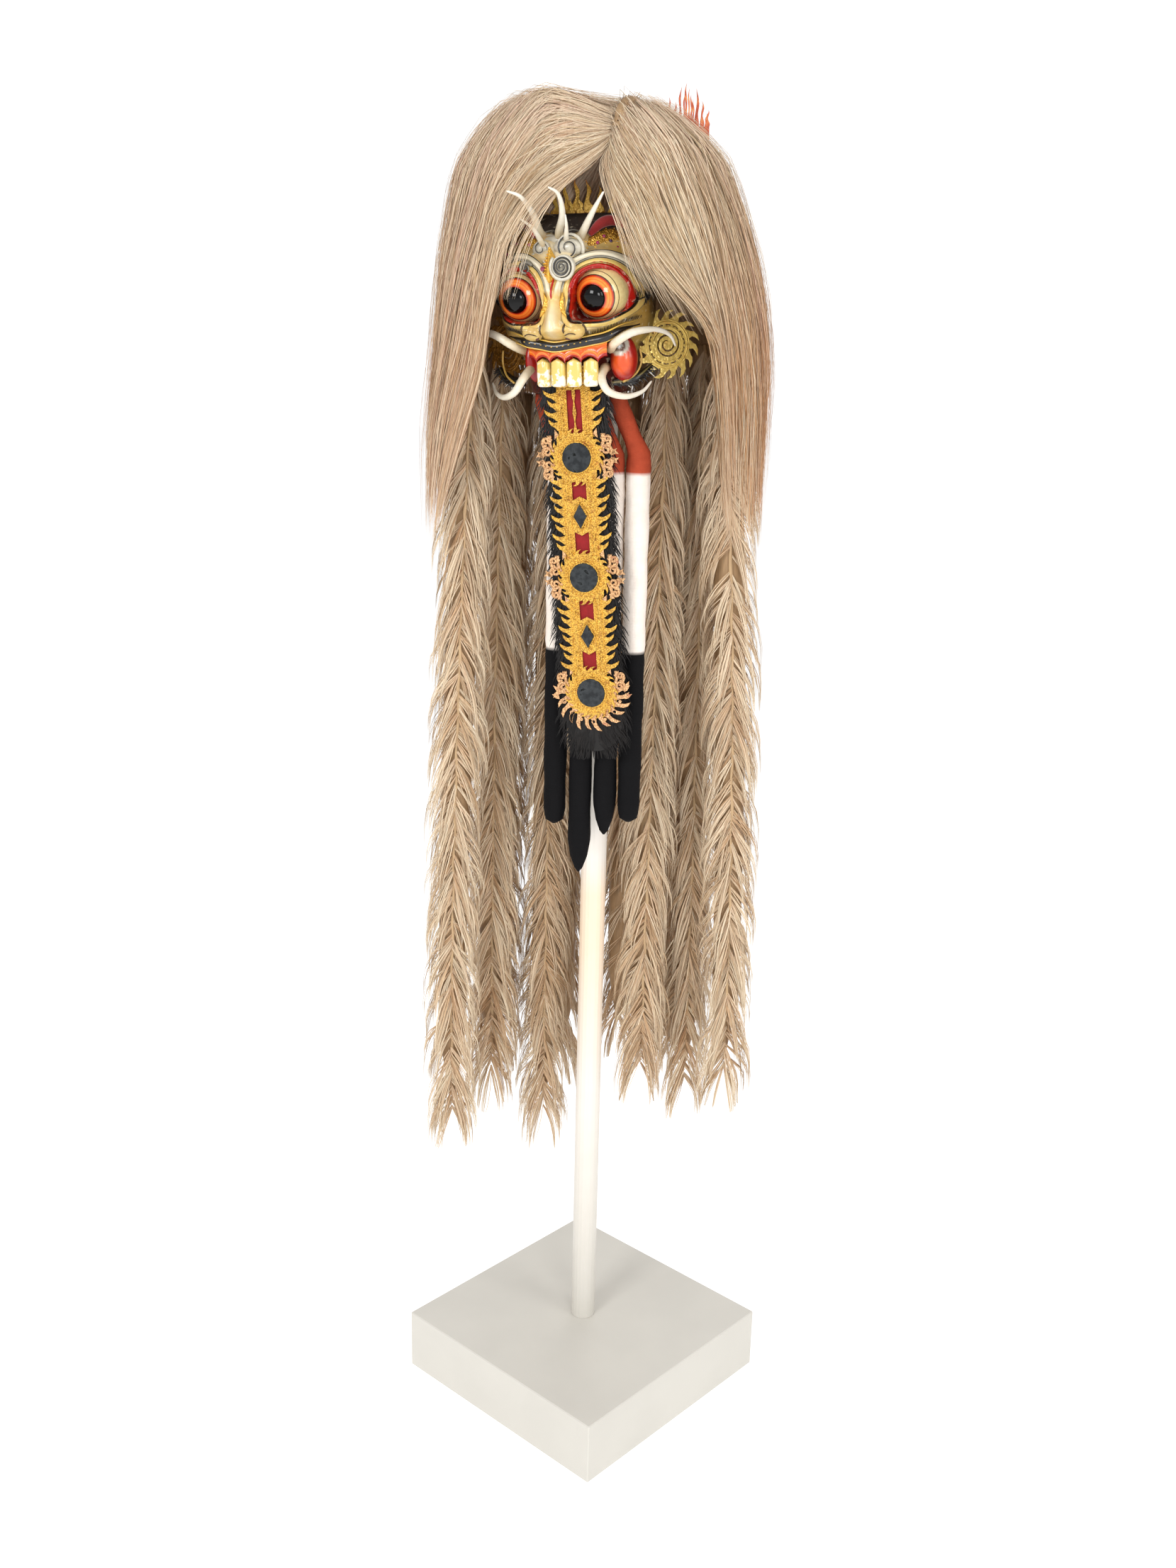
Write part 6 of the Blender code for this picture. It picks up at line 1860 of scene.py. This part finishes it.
def on_guides(guides, place, share):
    """Points between the guide locks: place counts guides, share runs from root to tip."""
    last = len(guides) - 1
    place = np.clip(place, 0, last - 1e-6)
    first = place.astype(int)
    part = (place - first)[..., None]
    spot = np.clip(share, 0, 1) * 64
    row = np.minimum(spot.astype(int), 63)
    between = (spot - row)[..., None]

    def at(index):
        index = np.clip(index, 0, last)
        return guides[index, row] * (1 - between) + guides[index, row + 1] * between

    before, a, b, after = at(first - 1), at(first), at(first + 1), at(first + 2)
    return 0.5 * (2 * a + (b - before) * part + (2 * before - 5 * a + 4 * b - after) * part**2
                  + (3 * a - before - 3 * b + after) * part**3)


def outward(guides, place, share, sign):
    """Unit normals of the hair's surface, pointing out."""
    step = 0.02
    across = on_guides(guides, place + step, share) - on_guides(guides, place - step, share)
    along = on_guides(guides, place, share + step) - on_guides(guides, place, share - step)
    return unit(np.cross(across, along)) * sign


def dyed(hair, tone, rosy, tan):
    """Fibre colour from its tone, 0 dark to 1 light, and its shares of red and tan."""
    dark, middle, light = (np.array(c) for c in (hair.dark, hair.middle, hair.light))
    tone = np.clip(tone, 0, 1)[..., None]
    base = np.where(tone < 0.5, dark + (middle - dark) * tone * 2,
                    middle + (light - middle) * (tone * 2 - 1))
    base = base + (np.array(hair.rosy) - base) * np.clip(rosy, 0, 1)[..., None]
    return base + (np.array(hair.tan) - base) * np.clip(tan, 0, 1)[..., None]


def comb_side(hair, name, node, guides, sign, seed, material):
    """One side of the combed hair: an underlayer, thick locks, fine strands and flyaways."""
    rng = np.random.default_rng(seed)
    last = len(guides) - 1
    rows, columns = 32, 70
    place = np.linspace(0.45, last, columns)[None, :] * np.ones((rows, 1))
    share = np.linspace(0.0, 0.66, rows)[:, None] * np.ones((1, columns))
    share = share + 0.04 * np.sin(place * 23) * (share > 0.61)
    normal = outward(guides, place, share, sign)
    depth = (0.009 + 0.002 * np.sin(place * 60) * share) * np.clip(place, 0.4, 1.0)
    under = on_guides(guides, place, share) - normal * depth[..., None]
    faces = [face if sign > 0 else face[::-1] for face in grid_faces(rows, columns)]
    shape = Shape()
    # Painted shade: the underlayer is coloured dark for the shaded inside of the hair.
    tone = 0.15 + 0.25 * rng.uniform(size=(rows, columns))
    shape.add(under.reshape(-1, 3), faces, dye=dyed(hair, tone, 0 * tone, 0 * tone).reshape(-1, 3))
    under = applied(shape.piece(name + "_underlayer"), "SOLIDIFY", thickness=0.003, offset=-1.0)
    hand_over(under, material, "hair", node)
    shape = Shape()
    count = hair.strands
    width = hair.strand_width
    strands(shape, hair, guides, sign, rng, count, 70, 2.4 * width, (-0.009, -0.003), 0.05,
            (0.82, 0.97), 0.9)
    strands(shape, hair, guides, sign, rng, 9 * count // 5, 190, width, (-0.006, 0.0015), 0.045,
            (0.8, 1.0), 0.5)
    strands(shape, hair, guides, sign, rng, count // 3, 110, 0.55 * width, (0.0, 0.01), 0.22,
            (0.75, 1.0), 0.4)
    if sign > 0:
        # The roots under the parting, which close the gap between the two sides
        root = smooth_line(PARTING, 60) - np.array([0.0, 0.0, 0.01])
        sweep(shape, root, 0.013, 0.007, np.array([0.0, 0.0, 1.0]), 10, dye=list(hair.middle))
    wisps = LEFT_WISPS if sign > 0 else RIGHT_WISPS
    for guide in wisps:
        line = smooth_line(guide, 15)
        number = 170 if len(guide) == 4 else 30
        fan = rng.normal(0, 1, (number, 1, 3)) * np.array([0.007, 0.004, 0.003])
        if len(guide) == 4:
            fan = fan * np.array([3.0, 1.2, 1.5])
        grow = np.linspace(0.25, 1, 15)[None, :, None] ** 1.2
        path = line[None] + fan * grow
        path = path + 0.0016 * np.sin(np.linspace(0, 9, 15)[None, :, None]
                                      + rng.uniform(0, 6, (number, 1, 3)))
        tangent = unit(np.gradient(path, axis=1))
        across = unit(np.cross(tangent, rng.normal(0, 1, (number, 1, 3)) * 0.5
                               + np.array([-0.3, -0.95, 0.0])))
        wide = 1.7 if len(guide) == 4 else 0.55
        widths = wide * width * np.ones((number, 15)) * np.interp(
            np.linspace(0, 1, 15), (0, 0.8, 1), (1, 0.8, 0.1))
        # Painted light: the long strands across the brow take the lightest tone though they lie in
        # the hair's shade.
        bright = 1.05 if len(guide) == 4 else 0.8
        tone = bright + 0.2 * rng.normal(size=(number, 1)) + np.zeros((number, 15))
        red = 0.3 if len(guide) == 4 else 0.1
        ribbons(shape, path, across, widths, dye=dyed(hair, tone, red + 0 * tone, 0 * tone))
    hand_over(shape.piece(name), material, "hair", node)


def tuft(shape, hair, rng, spine, length, front, count, per_tuft, shade):
    """Pointed tufts that leave a rope's cord on both sides, as on a feather."""
    first = np.sort(rng.uniform(0.0, 1.0, count))
    side = np.where(np.arange(count) % 2 == 0, -1.0, 1.0)
    turn = side * rng.uniform(0.5, 1.75, count)
    reach = rng.uniform(0.03, 0.047, count)
    fall = length * rng.uniform(0.75, 1.2, count)
    lean = rng.uniform(0.55, 0.85, count)
    lightness = rng.normal(0, 0.13, count)
    pick = np.repeat(np.arange(count), per_tuft)
    number = len(pick)
    q = np.linspace(0, 1, 6)[None, :]
    bunch = rng.normal(0, 1, (3, number, 1)) * np.interp(q, (0, 0.5, 1), (0.35, 1.0, 0.35))
    top, bottom = spine(np.array([[0.0], [1.0]]))[:, 0, 2]
    whole = top - bottom
    start = first[pick][:, None] * (1 - 0.6 * length / whole)
    angle = front + turn[pick][:, None] * np.sin(q * 1.45) ** 0.9 + 0.1 * bunch[0]
    drop = fall[pick][:, None] * (lean[pick][:, None] * q + (1 - lean[pick][:, None]) * q * q)
    out = 0.024 + (reach[pick][:, None] - 0.024) * np.sin(q * 1.7) + 0.0015 * bunch[1]
    close = np.interp(start, (0.0, 0.12, 0.9, 1.0), (0.75, 1.0, 0.95, 0.35))
    share = np.minimum(start + (drop + 0.003 * bunch[2]) / whole, 1.01)
    centre = spine(np.minimum(share, 1.0))
    centre[..., 2] = top - whole * share
    radial = np.stack([np.cos(angle), np.sin(angle), 0 * angle], axis=-1)
    path = centre + radial * (out * close)[..., None]
    tangent = unit(np.gradient(path, axis=1))
    roll = rng.normal(0, 0.6, number)[:, None, None]
    across = unit(np.cross(tangent, radial) * np.cos(roll) + radial * np.sin(roll))
    widths = hair.strand_width * rng.uniform(0.8, 1.7, number)[:, None] * np.interp(
        q, (0, 0.2, 0.7, 1.0), (0.7, 1.0, 0.75, 0.08))
    # Tufts run darker at the cord and lighter at the tip; shade adds the rope's painted shade.
    tone = (0.85 + shade + lightness[pick] + 0.15 * rng.normal(size=number))[:, None] + 0.32 * (
        q - 0.35)
    tan = 0.35 * rng.uniform(size=count)[pick][:, None] * (1 - q)
    ribbons(shape, path, across, widths, dye=dyed(hair, tone, 0.08 + 0 * tone, tan))


def comb_hair(scene):
    hair = scene.mask_hair
    material = hair_material("combed horse hair and sisal")
    comb_side(hair, "hair_combed_left", "hair_left", hair_guides(LEFT_EDGE, LEFT_GUIDES), 1, 21,
              material)
    comb_side(hair, "hair_combed_right", "hair_right", hair_guides(RIGHT_EDGE, RIGHT_GUIDES), -1,
        22, material)


def rope_spine(top, tip, tip_height, share):
    """A rope's middle line, hanging straight down and then a little outwards."""
    spread = 1 - (1 - share) ** 2
    x = top[0] + (tip[0] - top[0]) * spread
    y = top[1] + (tip[1] - top[1]) * spread
    z = ROPE_TOP + (tip_height - ROPE_TOP) * share
    return np.stack([x, y, z], axis=-1)


def make_ropes(scene):
    """Long ropes: pointed tufts bound to a cord one above the other, like a feather."""
    hair = scene.mask_hair
    material = hair_material("tufted hair rope")
    for number, (node, (top, tip, tip_height)) in enumerate(ROPES.items()):
        rng = np.random.default_rng(40 + number)
        behind = "back" in node
        first = 0.16 if behind else 0.1
        front = math.radians(90 if behind else -90)

        def spine(share):
            return rope_spine(top, tip, tip_height, first + (1 - first) * share)

        whole = (ROPE_TOP - tip_height) * (1 - first)
        shape = Shape()
        share = np.linspace(0, 0.93, 60)
        fat = 0.023 * np.interp(share, (0, 0.1, 0.85, 0.93), (0.7, 1.0, 0.9, 0.25))
        # Painted shade: the core between the tufts is a darker hair colour.
        shaded_tone = 0.5 * np.array(hair.dark) + 0.5 * np.array(hair.middle)
        sweep(shape, spine(share), fat, fat, np.array([0.0, -1.0, 0.0]), 12, dye=shaded_tone.tolist())
        cord = spine(share) + np.array([math.cos(front), math.sin(front), 0.0]) * (fat + 0.001)[:,
            None]
        cord[:, 0] += 0.0012 * np.sin(share * 90)
        knots = 0.0024 + 0.0007 * np.sin(share * whole / 0.008 * 6.28)
        sweep(shape, cord, knots, knots, np.array([0.0, -1.0, 0.0]), 7, dye=list(hair.middle))
        # Painted shade: inner, middle and back ropes are darker, and each rope's back tufts darker
        # still.
        shade = -0.08 if "inner" in node or "middle" in node or behind else 0.02
        tufts = int(whole / hair.tuft_spacing)
        tuft(shape, hair, rng, spine, hair.tuft_length, front, 3 * tufts, 7 if behind else 8, shade)
        tuft(shape, hair, rng, spine, hair.tuft_length, front + math.pi, tufts, 6, shade - 0.1)
        hand_over(shape.piece(node + "_tufts"), material, "hair", node)


def set_stage(scene):
    """A pale floor, a white surround, four wide soft lights and the photograph's camera."""
    stand = scene.mask_stand
    bpy.ops.object.select_all(action="DESELECT")
    bpy.ops.mesh.primitive_plane_add(size=40.0)
    floor = bpy.context.active_object
    floor.name = "studio_floor"
    material, tree, shader = finish("matt white paper")
    tint = ramp(tree, grain(tree, 0.5, 2.0), [(0.0, rgba([c * 0.99 for c in stand.floor])),
        (1.0, rgba(stand.floor))])
    give(shader, {"Base Color": tint, "Roughness": 0.9, "Specular IOR Level": 0.1,
        "Emission Color": (1.0, 1.0, 1.0, 1.0), "Emission Strength": 0.6})
    floor.data.materials.append(material)
    world = bpy.data.worlds.new("white surround")
    world.use_nodes = True
    back = world.node_tree.nodes["Background"]
    give(back, {"Color": (1.0, 1.0, 1.0, 1.0)})
    seen = added(world.node_tree, "LightPath").outputs["Is Camera Ray"]
    glow = spread_out(world.node_tree, seen, 0.0, 1.0, stand.air, 1.1)
    give(back, {"Strength": glow})
    scene.world = world
    for name, place, size, power in (
        ("soft light left", (-1.8, -2.5, 2.5), 1.0, stand.light_power),
        ("soft light front", (0.7, -3.1, 2.1), 0.9, stand.light_power * 0.58),
        ("soft light right", (2.2, -1.8, 2.5), 1.2, stand.light_power * 0.45),
        ("soft light back", (0.6, 2.4, 3.0), 1.6, stand.light_power * 0.35),
    ):
        lamp = bpy.data.lights.new(name, "AREA")
        lamp.shape = "SQUARE"
        lamp.size = size
        lamp.energy = power
        light = bpy.data.objects.new(name, lamp)
        scene.collection.objects.link(light)
        aim = Vector((0.0, 0.0, 1.2)) - Vector(place)
        light.matrix_world = Matrix.Translation(place) @ aim.to_track_quat("-Z",
            "Y").to_matrix().to_4x4()
    camera = bpy.data.cameras.new("camera")
    camera.lens = CAMERA_LENS
    eye = bpy.data.objects.new("camera", camera)
    scene.collection.objects.link(eye)
    back_axis = -Vector(CAMERA_FORWARD).normalized()
    side = Vector(CAMERA_UP).cross(back_axis).normalized()
    up = back_axis.cross(side)
    turn = Matrix((side, up, back_axis)).transposed().to_4x4()
    eye.matrix_world = Matrix.Translation(CAMERA_PLACE) @ turn
    scene.camera = eye
    scene.view_settings.view_transform = "Standard"


class MaskStep:
    """What every step of the build shares: it works on the scene's own settings."""

    bl_options = {"REGISTER", "UNDO"}

    def execute(self, context):
        self.build(context.scene)
        return {"FINISHED"}


class MASK_PT_build(bpy.types.Panel):
    """Settings and steps of the mask's build"""

    bl_idname = "MASK_PT_build"
    bl_label = "Dance Mask"
    bl_space_type = "VIEW_3D"
    bl_region_type = "UI"
    bl_category = "Dance Mask"

    def draw(self, context):
        layout = self.layout
        for group in ("mask_face", "mask_gilt", "mask_hair", "mask_stand"):
            settings = getattr(context.scene, group)
            box = layout.box()
            for name in settings.__annotations__:
                box.prop(settings, name)
        for step in STEPS:
            layout.operator(step.bl_idname)


SETTINGS = {
    "mask_face": FaceSettings,
    "mask_gilt": GiltSettings,
    "mask_hair": HairSettings,
    "mask_stand": StandSettings,
}
STEPS = tuple((type("MASK_OT_" + name, (MaskStep, bpy.types.Operator),
    {"__doc__": does, "bl_idname": "mask." + name, "bl_label": label, "build": staticmethod(build)})
    for name, label, does,
    build in (("stand", "Paint Stand", "Paints the plinth and the pole", make_stand),
    ("face", "Carve Face", "Carves and lacquers the face", make_face),
    ("eyes", "Set Eyes", "Sets the bulging eyes and their pupils", make_eyes),
    ("mouth", "Carve Mouth", "Adds the moustache, gum, teeth and cheek pockets", make_mouth),
    ("tusks", "Fit Tusks", "Fits the tusks and their gold inlay", make_tusks),
    ("forehead", "Dress Forehead", "Adds the curls, leaf, brow plates and crown", make_forehead),
    ("ears", "Hang Ear Plates", "Hangs the pierced ear plates", make_ears),
    ("tongue", "Hang Tongue", "Hangs the gilt tongue with its goat hair and mirrors", make_tongue),
    ("tubes", "Stuff Cloth Tubes", "Adds the stuffed cloth tubes", make_cloth_tubes),
    ("crest", "Add Crest", "Adds the red flame plate behind the hair", make_crest),
    ("hair", "Comb Hair", "Combs the hair on both sides of the parting", comb_hair),
    ("ropes", "Bind Ropes", "Binds the long tufted hair ropes", make_ropes),
    ("stage", "Set Stage", "Sets the floor, the lights and the camera", set_stage))))


def register():
    for group in (*SETTINGS.values(), *STEPS, MASK_PT_build):
        bpy.utils.register_class(group)
    for name, group in SETTINGS.items():
        setattr(bpy.types.Scene, name, PointerProperty(type=group))


def unregister():
    for name in SETTINGS:
        delattr(bpy.types.Scene, name)
    for group in (MASK_PT_build, *reversed(STEPS), *SETTINGS.values()):
        bpy.utils.unregister_class(group)


def main():
    register()
    for step in STEPS:
        getattr(bpy.ops.mask, step.bl_idname.split(".")[1])()


if __name__ == "__main__":
    main()
